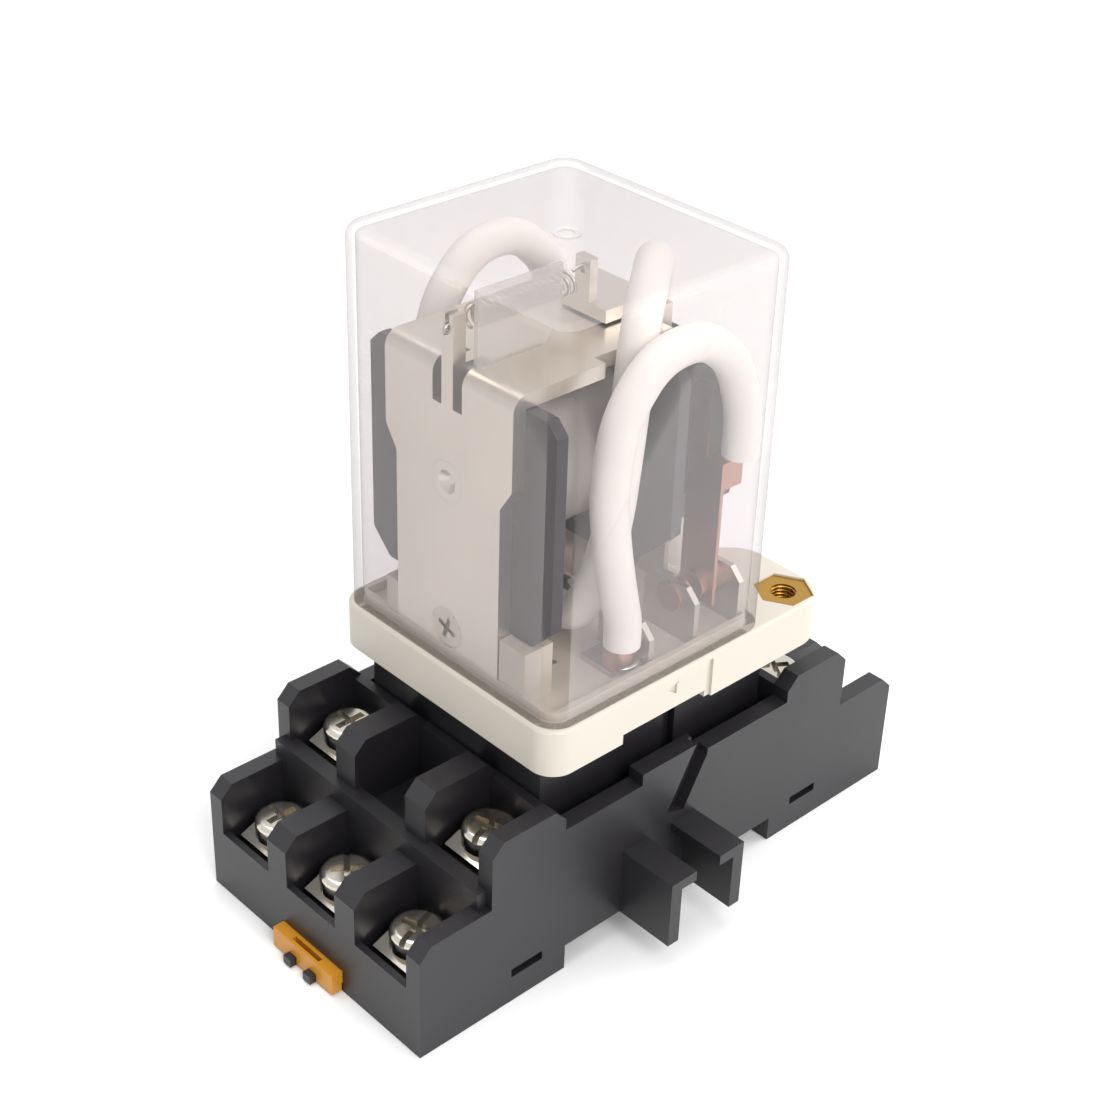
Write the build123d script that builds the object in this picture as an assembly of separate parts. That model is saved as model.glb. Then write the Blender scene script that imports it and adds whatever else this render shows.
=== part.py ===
from build123d import *
from math import cos, degrees, pi, radians, sin, tan
import os

# Plug-in power relay in its rail-mounting screw socket, in millimetres.
# +X runs along the socket towards its six-terminal end, +Z is up, and the origin is the
# middle of the socket on its underside, where the mounting rail enters.

# Socket housing
SOCKET_LENGTH = 80.9
SOCKET_WIDTH = 39.9
LOWER_TIER_TOP = 15.7
UPPER_TIER_TOP = 24.6
UPPER_TIER_OUT = 30.0  # distance of the upper tier's open end from the middle
TIER_STEP = 18.9  # distance of the upper tier's inner end from the middle
SIDE_WALL_TOP = 21.3
SEAT_TOP = 28.45  # the relay rests here
SEAT_LENGTH = 37.4
SEAT_WIDTH = 30.4
SEAT_ROOF = 2.6
SEAT_WALL = 1.3
SEAT_END_WALL = 4.4
CHAMFER = 1.7

# Terminal pockets
POCKET_WIDTH = 9.3
DIVIDER = 3.65
LOWER_FLOOR = 6.3
UPPER_FLOOR = 15.4
LIP_HEIGHT = 2.6
LIP_THICKNESS = 0.9
BACK_WALL = 1.3
SCREW_IN_LOWER = 5.45  # screw axis behind the lower tier's open end
SCREW_IN_UPPER = 5.7  # screw axis behind the upper tier's open end

# Terminal hardware, metric size 3.5
SCREW_RADIUS = 1.7
SCREW_HEAD_RADIUS = 3.3
SCREW_HEAD_HEIGHT = 2.5
SADDLE_LENGTH = 7.2
SADDLE_WIDTH = 7.4
SADDLE_THICKNESS = 0.9
SADDLE_DROP = 0.9
STRAP_WIDTH = 6.0
STRAP_THICKNESS = 1.0
NUT_SIDE = 6.0
NUT_HEIGHT = 2.2
CLAMP_GAP = 2.0  # from a strap's top to the underside of the screw head

# Mounting rail, 35 mm wide, and the sliding clip that holds it
RAIL_WIDTH = 35.0
RAIL_CLEARANCE = 1.0
RAIL_DEPTH = 3.5
RAIL_OFFSET = -0.3  # middle of the recess along X
HOOK_UNDERCUT = 1.5
HOOK_LIP = 1.6
HOOK_WIDTH = 20.0
CLIP_WIDTH = 11.4
CLIP_FOOT_WIDTH = 9.2
CLIP_FOOT_HEIGHT = 1.2
CLIP_HEIGHT = 3.0
CLIP_GROUND = 0.15
CLIP_CLEARANCE = 0.15
CLIP_REACH = 1.5  # how far the clip stands into the recess and out of the end wall

# Marker bracket moulded on the side wall
BRACKET_DEPTH = 8.2
BRACKET_MIDDLE = -3.1
BRACKET_WIDTH = 12.3
BRACKET_MOUTH = 4.0
BRACKET_WALL = 1.75
BRACKET_TOP = 12.8
BRACKET_ARM = 1.4

# Relay base
BASE_LEFT = -20.9
BASE_RIGHT = 26.2
BASE_WIDTH = 38.4
BASE_HEIGHT = 6.15
BASE_CORNER = 3.2
FLANGE_CORNER = 4.6
NOTCH_WIDTH = 5.0  # between the two mounting ears
NOTCH_START = 15.6
NOTCH_CORNER = 5.4
RIM_HEIGHT = 1.2
RIM_WALL = 0.8
POST_HEIGHT = 6.7
INSERT_FLATS = 6.6
INSERT_DEPTH = 3.0
INSERT_BORE_RADIUS = 1.65
INSERT_EDGE_X = 4.4  # insert axis in from the flange's end
INSERT_EDGE_Y = 4.0  # insert axis in from the flange's side

# Clear cover
COVER_LEFT = -20.5
COVER_RIGHT = 14.75
COVER_WIDTH = 37.6
COVER_TOP = 83.5
COVER_WALL = 1.1
COVER_CORNER = 3.4
COVER_EDGE = 1.7
COVER_FIT = 0.2

# Plug blades and fixed contacts
BLADE_WIDTH = 4.8
BLADE_THICKNESS = 0.8
BLADE_LENGTH = 9.0
BLADE_ROW = 10.8  # Y of the outer rows
COIL_BLADE_X = -11.0
COIL_BLADE_Y = 6.2
COMMON_X = -3.4
OPEN_CONTACT_X = 4.0  # face nearest the coil
CLOSED_CONTACT_X = 11.6
POLE_PITCH = 12.4
CONTACT_PLATE_WIDTH = 8.4
CONTACT_PLATE_HEIGHT = 7.4
COMMON_PLATE_HEIGHT = 5.6
BUTTON_RADIUS = 2.0
BUTTON_HEIGHT = 1.1
CONTACT_LEVEL = 5.2  # button axis above the relay base

# Frame, coil and armature
FRAME_MIDDLE = 0.9
FRAME_X = -19.1
FRAME_THICKNESS = 1.8
FRAME_TOP = 72.35
FRAME_WIDTH = 21.4
FRAME_FOOT_WIDTH = 17.7
FRAME_BEND_RADIUS = 2.0
FRAME_REAR = 6.3
FRAME_LEG_STEP = 1.75
FRAME_LEG_STEP_X = -5.8
FRAME_NECK_TOP = 61.0
FRAME_NECK_BOTTOM = 58.2
TONGUE_WIDTH = 1.9
TONGUE_TOP = 78.2
SLOT_WIDTH = 1.5
SLOT_DEPTH = 5.2
COIL_AXIS_Z = 57.8
COIL_RADIUS = 8.9
WRAP_THICKNESS = 0.3
FRONT_FLANGE_WIDTH = 31.2
FRONT_FLANGE_BOTTOM = 41.5
FRONT_FLANGE = 1.6
REAR_FLANGE_WIDTH = 29.0
REAR_FLANGE_BOTTOM = 42.3
REAR_FLANGE = 1.7
REAR_FLANGE_X = 3.9
BOBBIN_TOP = 70.4
BOBBIN_TUBE_RADIUS = 5.0
CORE_RADIUS = 4.0
STAKE_RADIUS = 2.6
POLE_RADIUS = 6.5
POLE_THICKNESS = 1.5
ARMATURE_CLEARANCE = 0.3
ARMATURE_THICKNESS = 1.6
ARMATURE_WIDTH = 14.0
ARMATURE_TAIL_WIDTH = 8.0
ARMATURE_BOTTOM = 49.0
TAIL_LENGTH = 6.0
TAIL_TOP = 79.4
CARRIER_BOTTOM = 50.5
CARRIER_TOP = 68.6
CARRIER_RIGHT = 13.2
CARRIER_LENGTH = 25.0
MOVING_BLADE_X = 8.6
MOVING_BLADE_WIDTH = 5.4
MOVING_BLADE_THICKNESS = 0.5
MOVING_BLADE_TOP = 66.0
MOVING_BLADE_SHOULDER = 56.9
MOVING_BLADE_BOTTOM = 37.6
SPRING_RADIUS = 1.3
SPRING_WIRE = 0.22
SPRING_PITCH = 0.95
SPRING_AXIS_Z = 76.9
GUARD_THICKNESS = 0.6
SLEEVE_RADIUS = 2.2
CUP_RADIUS = 1.9


# Values that follow from the ones above
HALF_LENGTH = SOCKET_LENGTH / 2
HALF_WIDTH = SOCKET_WIDTH / 2
COLUMN_PITCH = POCKET_WIDTH + DIVIDER
RECESS_WIDTH = RAIL_WIDTH + RAIL_CLEARANCE
RECESS_LEFT = RAIL_OFFSET - RECESS_WIDTH / 2
RECESS_RIGHT = RAIL_OFFSET + RECESS_WIDTH / 2
LOWER_SCREW_X = HALF_LENGTH - SCREW_IN_LOWER
UPPER_SCREW_X = UPPER_TIER_OUT - SCREW_IN_UPPER
CAVITY_LENGTH = SEAT_LENGTH - 2 * SEAT_END_WALL
CAVITY_WIDTH = SEAT_WIDTH - 2 * SEAT_WALL
BASE_TOP = SEAT_TOP + BASE_HEIGHT
CONTACT_Z = BASE_TOP + CONTACT_LEVEL
COVER_INNER_LEFT = COVER_LEFT + COVER_WALL
COVER_INNER_RIGHT = COVER_RIGHT - COVER_WALL
COVER_INNER_WIDTH = COVER_WIDTH - 2 * COVER_WALL
FRAME_BACK = FRAME_X + FRAME_THICKNESS
HINGE_X = FRAME_REAR + ARMATURE_CLEARANCE / 2
HINGE_Z = FRAME_TOP + ARMATURE_CLEARANCE / 2
ARMATURE_X = FRAME_REAR + ARMATURE_CLEARANCE
POLE_X = REAR_FLANGE_X + POLE_THICKNESS
INSERT_X = BASE_RIGHT - INSERT_EDGE_X
INSERT_Y = BASE_WIDTH / 2 - INSERT_EDGE_Y
CLIP_SEAT_Z = UPPER_FLOOR + STRAP_THICKNESS


def box(x0, x1, y0, y1, z0, z1):
    """A block between two corners."""
    middle = Pos((x0 + x1) / 2, (y0 + y1) / 2, (z0 + z1) / 2)
    return middle * Box(x1 - x0, y1 - y0, z1 - z0)


def prism_along_y(points, y0, y1):
    """An outline of (x, z) points drawn out from y0 to y1."""
    plane = Plane(origin=(0, y1, 0), x_dir=(1, 0, 0), z_dir=(0, -1, 0))
    return extrude(plane * Polygon(*points, align=None), amount=y1 - y0, dir=(0, -1, 0))


def prism_along_x(points, x0, x1):
    """An outline of (y, z) points drawn out from x0 to x1."""
    plane = Plane(origin=(x0, 0, 0), x_dir=(0, 1, 0), z_dir=(1, 0, 0))
    return extrude(plane * Polygon(*points, align=None), amount=x1 - x0, dir=(1, 0, 0))


def rod_along_x(radius, x0, x1, y, z):
    """A round bar parallel to X."""
    return Pos((x0 + x1) / 2, y, z) * Rot(0, 90, 0) * Cylinder(radius, x1 - x0)


def rod_along_z(radius, x, y, z0, z1):
    """A round bar parallel to Z."""
    return Pos(x, y, (z0 + z1) / 2) * Cylinder(radius, z1 - z0)


def mirrored(shape):
    """The same piece at the other end of the socket."""
    return mirror(shape, about=Plane.YZ)


def save(name, *shapes):
    """Write one node, as one or more separate solids."""
    solids = [solid for shape in shapes for solid in shape.solids()]
    export_step(Compound(solids), f"parts/{name}.step")


def pocket_columns():
    """Y of the three columns of terminals."""
    return [-COLUMN_PITCH, 0, COLUMN_PITCH]


def terminals():
    """Each terminal as (side, tier, y): five on the left, six on the right."""
    found = []
    for side in (-1, 1):
        for tier in ("lower", "upper"):
            for y in pocket_columns():
                blank = side == -1 and tier == "upper" and y == 0
                if not blank:
                    found.append((side, tier, y))
    return found


def terminal_seat(side, tier):
    """X of a terminal's screw and Z of its pocket's floor."""
    if tier == "lower":
        return side * LOWER_SCREW_X, LOWER_FLOOR
    return side * UPPER_SCREW_X, UPPER_FLOOR


# ---------------------------------------------------------------- socket


def tier_outline(inner_end):
    """Side view of one stepped end, from the open end in to inner_end."""
    return [
        (-HALF_LENGTH, 0),
        (-HALF_LENGTH, LOWER_TIER_TOP - CHAMFER),
        (-HALF_LENGTH + CHAMFER, LOWER_TIER_TOP),
        (-UPPER_TIER_OUT, LOWER_TIER_TOP),
        (-UPPER_TIER_OUT, UPPER_TIER_TOP - CHAMFER),
        (-UPPER_TIER_OUT + CHAMFER, UPPER_TIER_TOP),
        (-inner_end - CHAMFER, UPPER_TIER_TOP),
        (-inner_end, UPPER_TIER_TOP - CHAMFER),
        (-inner_end, 0),
    ]


def side_wall(y0, y1):
    """An outer wall: the two stepped ends and the lower stretch between them."""
    end = prism_along_y(tier_outline(TIER_STEP), y0, y1)
    return end + mirrored(end) + box(-TIER_STEP, TIER_STEP, y0, y1, 0, SIDE_WALL_TOP)


def stepped_end():
    """Floors, dividers, lips and back wall of the three columns at the left end."""
    inner = HALF_WIDTH - 1
    body = box(-HALF_LENGTH, -TIER_STEP, -inner, inner, 0, LOWER_FLOOR)
    body += box(-UPPER_TIER_OUT - BACK_WALL, -TIER_STEP, -inner, inner, 0, UPPER_FLOOR)
    body += box(-HALF_LENGTH, -HALF_LENGTH + LIP_THICKNESS, -inner, inner, 0, LOWER_FLOOR + LIP_HEIGHT)
    lip_in = -UPPER_TIER_OUT + LIP_THICKNESS
    body += box(-UPPER_TIER_OUT - BACK_WALL, lip_in, -inner, inner, 0, UPPER_FLOOR + LIP_HEIGHT)
    back_top = UPPER_TIER_TOP - CHAMFER
    body += box(-TIER_STEP - BACK_WALL, -TIER_STEP, -inner, inner, 0, back_top)
    for y in (-COLUMN_PITCH / 2, COLUMN_PITCH / 2):
        body += prism_along_y(tier_outline(TIER_STEP), y - DIVIDER / 2, y + DIVIDER / 2)
    return body


def nut_pockets():
    """Square pockets under the straps, one for each terminal."""
    pockets = []
    for side, tier, y in terminals():
        x, floor = terminal_seat(side, tier)
        half = NUT_SIDE / 2 + 0.05
        pockets.append(box(x - half, x + half, y - half, y + half, floor - NUT_HEIGHT - 0.05, floor))
    return pockets


def strap_slots():
    """Ways through the walls for the straps, a little larger than each strap."""
    slots = []
    gap = 0.05
    half = BLADE_WIDTH / 2 + gap
    for side, tier, y in terminals():
        floor = terminal_seat(side, tier)[1]
        row = strap_row(y)
        outer = UPPER_TIER_OUT + BACK_WALL + 1 if tier == "lower" else TIER_STEP + BACK_WALL + 1
        ends = sorted((side * outer, side * (CAVITY_LENGTH / 2 - 0.5)))
        slots.append(box(*ends, row - half, row + half, floor, floor + STRAP_THICKNESS + gap))
    return slots


def blade_places():
    """X (left face) and Y (middle) of the eleven plug blades."""
    coil = [(COIL_BLADE_X, y) for y in (-COIL_BLADE_Y, COIL_BLADE_Y)]
    rows = (-BLADE_ROW, 0, BLADE_ROW)
    return coil + [(x, y) for x in (COMMON_X, OPEN_CONTACT_X, CLOSED_CONTACT_X) for y in rows]


def blade_section(x, y, z0, z1, gap=0.0):
    """The block that a blade fills between two levels, grown by a gap."""
    half = BLADE_WIDTH / 2 + gap
    return box(x - gap, x + BLADE_THICKNESS + gap, y - half, y + half, z0, z1)


def bracket():
    """Two facing angle-shaped fins that hold a marker plate."""
    left = BRACKET_MIDDLE - BRACKET_WIDTH / 2
    right = BRACKET_MIDDLE + BRACKET_WIDTH / 2
    arm = (BRACKET_WIDTH - BRACKET_MOUTH) / 2
    y0 = -HALF_WIDTH - BRACKET_DEPTH
    y1 = -HALF_WIDTH + 0.5
    low = RAIL_DEPTH
    arm_low = BRACKET_TOP - BRACKET_ARM
    fins = box(left, left + BRACKET_WALL, y0, y1, low, BRACKET_TOP)
    fins += box(left, left + arm, y0, y1, arm_low, BRACKET_TOP)
    fins += box(right - BRACKET_WALL, right, y0, y1, low, BRACKET_TOP)
    fins += box(right - arm, right, y0, y1, arm_low, BRACKET_TOP)
    return fins


def socket_body():
    end = stepped_end()
    body = end + mirrored(end)
    wall = (SOCKET_WIDTH - 3 * POCKET_WIDTH - 2 * DIVIDER) / 2
    body += side_wall(-HALF_WIDTH, -HALF_WIDTH + wall)
    body += side_wall(HALF_WIDTH - wall, HALF_WIDTH)
    trough_floor = UPPER_FLOOR - 3
    inner = HALF_WIDTH - 1
    body += box(-TIER_STEP - 1, TIER_STEP + 1, -inner, inner, 0, trough_floor)
    half_l, half_w = SEAT_LENGTH / 2, SEAT_WIDTH / 2
    body += box(-half_l, half_l, -half_w, half_w, 0, SEAT_TOP)
    # marker bracket and the small raised tab on the near wall, with the slanted slot beside it
    body += bracket()
    tab_left, tab_right, tab_top = -6.6, 3.1, SIDE_WALL_TOP + 1.6
    body += box(tab_left, tab_right, -HALF_WIDTH, -HALF_WIDTH + wall, SIDE_WALL_TOP - 1, tab_top)
    slot = [(3.1, tab_top + 1), (4.6, tab_top + 1), (4.5, 20.5), (0.9, 13.9), (-2.0, 14.8), (2.4, 22.9)]
    body -= prism_along_y(slot, -HALF_WIDTH - 0.1, -HALF_WIDTH + wall - 0.8)
    # wiring windows low in both side walls
    for x in (-24.4, 24.0):
        body -= box(x - 2.4, x + 2.4, -HALF_WIDTH - 1, -HALF_WIDTH + 1.2, 3.7, 4.9)
        body -= box(x - 2.4, x + 2.4, HALF_WIDTH - 1.2, HALF_WIDTH + 1, 3.7, 4.9)
    # upright key grooves in the seat's long faces
    for y in (-half_w, half_w):
        body -= box(1.3, 3.3, y - 1.0, y + 1.0, trough_floor, SEAT_TOP + 1)
    # cavity for the contact clips, closed from below by the bottom plate
    half_l, half_w = CAVITY_LENGTH / 2, CAVITY_WIDTH / 2
    cavity_floor = RAIL_DEPTH + PLATE_THICKNESS
    body -= box(-half_l, half_l, -half_w, half_w, cavity_floor, SEAT_TOP - SEAT_ROOF)
    body -= bottom_plate_blank(0.1)
    # rail recess, fixed hook undercut and the clip's guide
    body -= box(RECESS_LEFT, RECESS_RIGHT, -HALF_WIDTH - 1, HALF_WIDTH + 1, -1, RAIL_DEPTH)
    undercut = RECESS_RIGHT + HOOK_UNDERCUT
    body -= box(RECESS_RIGHT - 1, undercut, -HOOK_WIDTH / 2, HOOK_WIDTH / 2, HOOK_LIP, RAIL_DEPTH)
    guide = CLIP_CLEARANCE
    foot, head = CLIP_FOOT_WIDTH / 2 + guide, CLIP_WIDTH / 2 + guide
    body -= box(-HALF_LENGTH - 1, RECESS_LEFT + 1, -foot, foot, -1, CLIP_HEIGHT + guide)
    body -= box(-HALF_LENGTH - 1, RECESS_LEFT + 1, -head, head, CLIP_FOOT_HEIGHT - guide, CLIP_HEIGHT + guide)
    for pocket in nut_pockets() + strap_slots():
        body -= pocket
    for x, y in blade_places():
        body -= blade_section(x, y, SEAT_TOP - SEAT_ROOF - 1, SEAT_TOP + 1, 0.35)
    for x, y in plate_screw_places():
        body -= rod_along_z(PLATE_SCREW_RADIUS + 0.02, x, y, RAIL_DEPTH, RAIL_DEPTH + PLATE_SCREW_LENGTH + 0.3)
    return body


# Bottom plate that closes the clip cavity, and its two countersunk screws
PLATE_THICKNESS = 1.6
PLATE_LENGTH = 34.6
PLATE_WIDTH = 29.4
PLATE_SCREW_X = 15.9
PLATE_SCREW_Y = 5.4
PLATE_SCREW_RADIUS = 0.55
PLATE_SCREW_HEAD = 1.1
PLATE_SCREW_LENGTH = 4.2


def plate_screw_places():
    return [(PLATE_SCREW_X, PLATE_SCREW_Y), (-PLATE_SCREW_X, -PLATE_SCREW_Y)]


def bottom_plate_blank(gap=0.0):
    half_l, half_w = PLATE_LENGTH / 2 + gap, PLATE_WIDTH / 2 + gap
    return box(-half_l, half_l, -half_w, half_w, RAIL_DEPTH, RAIL_DEPTH + PLATE_THICKNESS)


def screw_cone(x, y, z, top_radius, radius, height):
    """A countersunk head whose wide end faces down at z."""
    return Pos(x, y, z + height / 2) * Cone(top_radius, radius, height)


def bottom_plate():
    plate = bottom_plate_blank()
    for x, y in plate_screw_places():
        plate -= screw_cone(x, y, RAIL_DEPTH, PLATE_SCREW_HEAD + 0.02, PLATE_SCREW_RADIUS + 0.02, 0.7)
        plate -= rod_along_z(PLATE_SCREW_RADIUS + 0.02, x, y, RAIL_DEPTH, RAIL_DEPTH + PLATE_THICKNESS + 1)
    return plate


def bottom_plate_screws():
    screws = []
    for x, y in plate_screw_places():
        screw = screw_cone(x, y, RAIL_DEPTH, PLATE_SCREW_HEAD, PLATE_SCREW_RADIUS, 0.7)
        screw += rod_along_z(PLATE_SCREW_RADIUS, x, y, RAIL_DEPTH + 0.6, RAIL_DEPTH + PLATE_SCREW_LENGTH)
        slot = (x - PLATE_SCREW_HEAD, x + PLATE_SCREW_HEAD, y - 0.15, y + 0.15)
        screw -= box(*slot, RAIL_DEPTH - 0.1, RAIL_DEPTH + 0.35)
        screws.append(screw)
    return screws


def rail_clip():
    """Sliding clip: a foot that hooks under the rail, a wide head in its guide and a pull tab."""
    outer = -HALF_LENGTH - CLIP_REACH
    tip = RECESS_LEFT + CLIP_REACH
    foot, head = CLIP_FOOT_WIDTH / 2, CLIP_WIDTH / 2
    clip = box(outer, -HALF_LENGTH - 0.1, -head, head, CLIP_GROUND, CLIP_HEIGHT)
    clip += box(-HALF_LENGTH - 0.2, RECESS_LEFT - 0.3, -foot, foot, CLIP_GROUND, CLIP_HEIGHT)
    clip += box(-HALF_LENGTH - 0.2, RECESS_LEFT - 0.3, -head, head, CLIP_FOOT_HEIGHT, CLIP_HEIGHT)
    hook = [
        (RECESS_LEFT - 0.4, CLIP_GROUND),
        (tip - 0.8, CLIP_GROUND),
        (tip, CLIP_GROUND + 0.8),
        (tip, HOOK_LIP + 0.4),
        (RECESS_LEFT - 0.4, HOOK_LIP + 0.4),
    ]
    clip += prism_along_y(hook, -foot, foot)
    # screwdriver slot in the tab, and the two cuts that leave a moulded spring arm between them
    clip -= box(outer + 0.45, outer + 1.05, -2.6, 2.6, CLIP_GROUND + 0.8, CLIP_HEIGHT + 1)
    for y in (-2.6, 2.6):
        clip -= box(-HALF_LENGTH + 5, RECESS_LEFT - 4, y - 0.5, y + 0.5, -1, CLIP_HEIGHT + 1)
    clip -= box(-HALF_LENGTH + 5, -HALF_LENGTH + 6.2, -2.6, 2.6, -1, CLIP_HEIGHT + 1)
    return clip


def clip_grips():
    """Two small nubs under the pull tab's outer edge."""
    outer = -HALF_LENGTH - CLIP_REACH
    return [box(outer - 0.9, outer, y - 0.7, y + 0.7, CLIP_GROUND, CLIP_GROUND + 1.1) for y in (-1.9, 1.9)]


# ---------------------------------------------------------------- terminals


def strap_row(y):
    """Y at which a strap runs inside the cavity, in line with its row of blades."""
    if y == 0:
        return 0
    return BLADE_ROW if y > 0 else -BLADE_ROW


def strap(side, tier, y):
    """A flat bar from under the screw to the foot of its contact clip."""
    x, floor = terminal_seat(side, tier)
    top = floor + STRAP_THICKNESS
    out = x + side * 3.2
    tongue_in = side * (UPPER_TIER_OUT + BACK_WALL if tier == "lower" else TIER_STEP + BACK_WALL) + side * 0.3
    row = strap_row(y)
    half = BLADE_WIDTH / 2
    target = {(-1, "lower"): COMMON_X, (-1, "upper"): COIL_BLADE_X}
    target.update({(1, "lower"): OPEN_CONTACT_X, (1, "upper"): CLOSED_CONTACT_X})
    blade = target[side, tier] + BLADE_THICKNESS / 2
    reach = blade - side * 1.5
    bar = box(*sorted((out, tongue_in)), y - STRAP_WIDTH / 2, y + STRAP_WIDTH / 2, floor, top)
    bar += box(*sorted((tongue_in, reach)), row - half, row + half, floor, top)
    if tier == "lower":
        ends = sorted((reach, reach + side * STRAP_THICKNESS))
        bar += box(*ends, row - half, row + half, floor, CLIP_SEAT_Z)
        ends = sorted((reach, blade + side * 1.5))
        bar += box(*ends, row - half, row + half, CLIP_SEAT_Z - STRAP_THICKNESS, CLIP_SEAT_Z)
    elif side == -1:
        inward = COIL_BLADE_Y if y > 0 else -COIL_BLADE_Y
        ends = sorted((inward - half, inward + half, row - half, row + half))
        bar += box(blade - 1.5, blade + 1.5, ends[0], ends[-1], floor, top)
    return bar - rod_along_z(SCREW_RADIUS + 0.15, x, y, floor - 1, top + 1)


def terminal_nut(side, tier, y):
    x, floor = terminal_seat(side, tier)
    half = NUT_SIDE / 2
    nut = box(x - half, x + half, y - half, y + half, floor - NUT_HEIGHT, floor)
    return nut - rod_along_z(SCREW_RADIUS + 0.02, x, y, floor - NUT_HEIGHT - 1, floor + 1)


def terminal_screw(side, tier, y):
    """Pan head with a cross recess and a slot, on a plain shank of the thread's size."""
    x, floor = terminal_seat(side, tier)
    seat = floor + STRAP_THICKNESS + CLAMP_GAP
    crown = 0.8
    head = rod_along_z(SCREW_HEAD_RADIUS, x, y, seat, seat + SCREW_HEAD_HEIGHT)
    head = fillet(head.edges().sort_by(Axis.Z)[-1:], crown)
    screw = head + rod_along_z(SCREW_RADIUS, x, y, floor - NUT_HEIGHT + 0.1, seat + 0.5)
    top = seat + SCREW_HEAD_HEIGHT
    turn = Pos(x, y, top) * Rot(0, 0, 37 * (1 + pocket_columns().index(y)) + 20 * side)
    screw -= turn * Box(2 * SCREW_HEAD_RADIUS + 1, 0.75, 1.5)
    screw -= turn * Box(0.95, 4.0, 2.6)
    return screw


def saddle(side, tier, y):
    """Clamp plate under the screw head, bent down towards both ends."""
    x, floor = terminal_seat(side, tier)
    top = floor + STRAP_THICKNESS + CLAMP_GAP
    half, drop, thick = SADDLE_LENGTH / 2, SADDLE_DROP, SADDLE_THICKNESS
    flat = 1.4
    outline = [
        (x - half, top - drop - thick),
        (x - half, top - drop),
        (x - flat, top),
        (x + flat, top),
        (x + half, top - drop),
        (x + half, top - drop - thick),
        (x + flat, top - thick),
        (x - flat, top - thick),
    ]
    plate = prism_along_y(outline, y - SADDLE_WIDTH / 2, y + SADDLE_WIDTH / 2)
    return plate - rod_along_z(SCREW_RADIUS + 0.2, x, y, floor, top + 1)


def contact_clip(x, y):
    """Spring fork that grips one blade: a foot on the strap and two jaws."""
    jaw, fit = 0.45, 0.05
    left, right = x - fit, x + BLADE_THICKNESS + fit
    half = BLADE_WIDTH / 2 - 0.2
    z0, z1 = CLIP_SEAT_Z, SEAT_TOP - SEAT_ROOF - 0.4
    clip = box(left - jaw, right + jaw, y - half, y + half, z0, z0 + 0.6)
    clip += box(left - jaw, left, y - half, y + half, z0, z1)
    clip += box(right, right + jaw, y - half, y + half, z0, z1)
    return clip


# ---------------------------------------------------------------- relay base


def rounded_plate(z0, z1):
    """The base's outline: small corners under the cover and two rounded ears beyond it."""
    half, notch = BASE_WIDTH / 2, NOTCH_WIDTH / 2
    plate = box(BASE_LEFT, BASE_RIGHT, -half, half, z0, z1)
    plate -= box(NOTCH_START, BASE_RIGHT + 1, -notch, notch, z0 - 1, z1 + 1)
    plate = fillet(plate.edges().filter_by(Axis.Z).group_by(Axis.X)[0], BASE_CORNER)
    plate = fillet(plate.edges().filter_by(Axis.Z).group_by(Axis.X)[-1].sort_by(Axis.Y)[1:3], NOTCH_CORNER)
    outer = [edge for edge in plate.edges().filter_by(Axis.Z) if edge.center().X > BASE_RIGHT - 0.1]
    outer = [edge for edge in outer if abs(edge.center().Y) > half - 0.1]
    plate = fillet(outer, FLANGE_CORNER)
    return plate


def rim(z0, z1):
    """The upstand that the cover slides over."""
    x0, x1 = COVER_INNER_LEFT + COVER_FIT, COVER_INNER_RIGHT - COVER_FIT
    half = COVER_INNER_WIDTH / 2 - COVER_FIT
    radius = COVER_CORNER - COVER_WALL - COVER_FIT
    middle = Pos((x0 + x1) / 2, 0, z0)
    outer = middle * extrude(RectangleRounded(x1 - x0, 2 * half, radius), amount=z1 - z0)
    hole = box(x0 + RIM_WALL, x1 - RIM_WALL, -half + RIM_WALL, half - RIM_WALL, z0 - 1, z1 + 1)
    return outer - hole


def insert_prism(z0, z1, flats):
    """A hexagon with flats facing the sides, for both insert and pocket."""
    radius = flats / 2 / cos(pi / 6)
    return extrude(Pos(0, 0, z0) * RegularPolygon(radius, 6), amount=z1 - z0)


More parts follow.
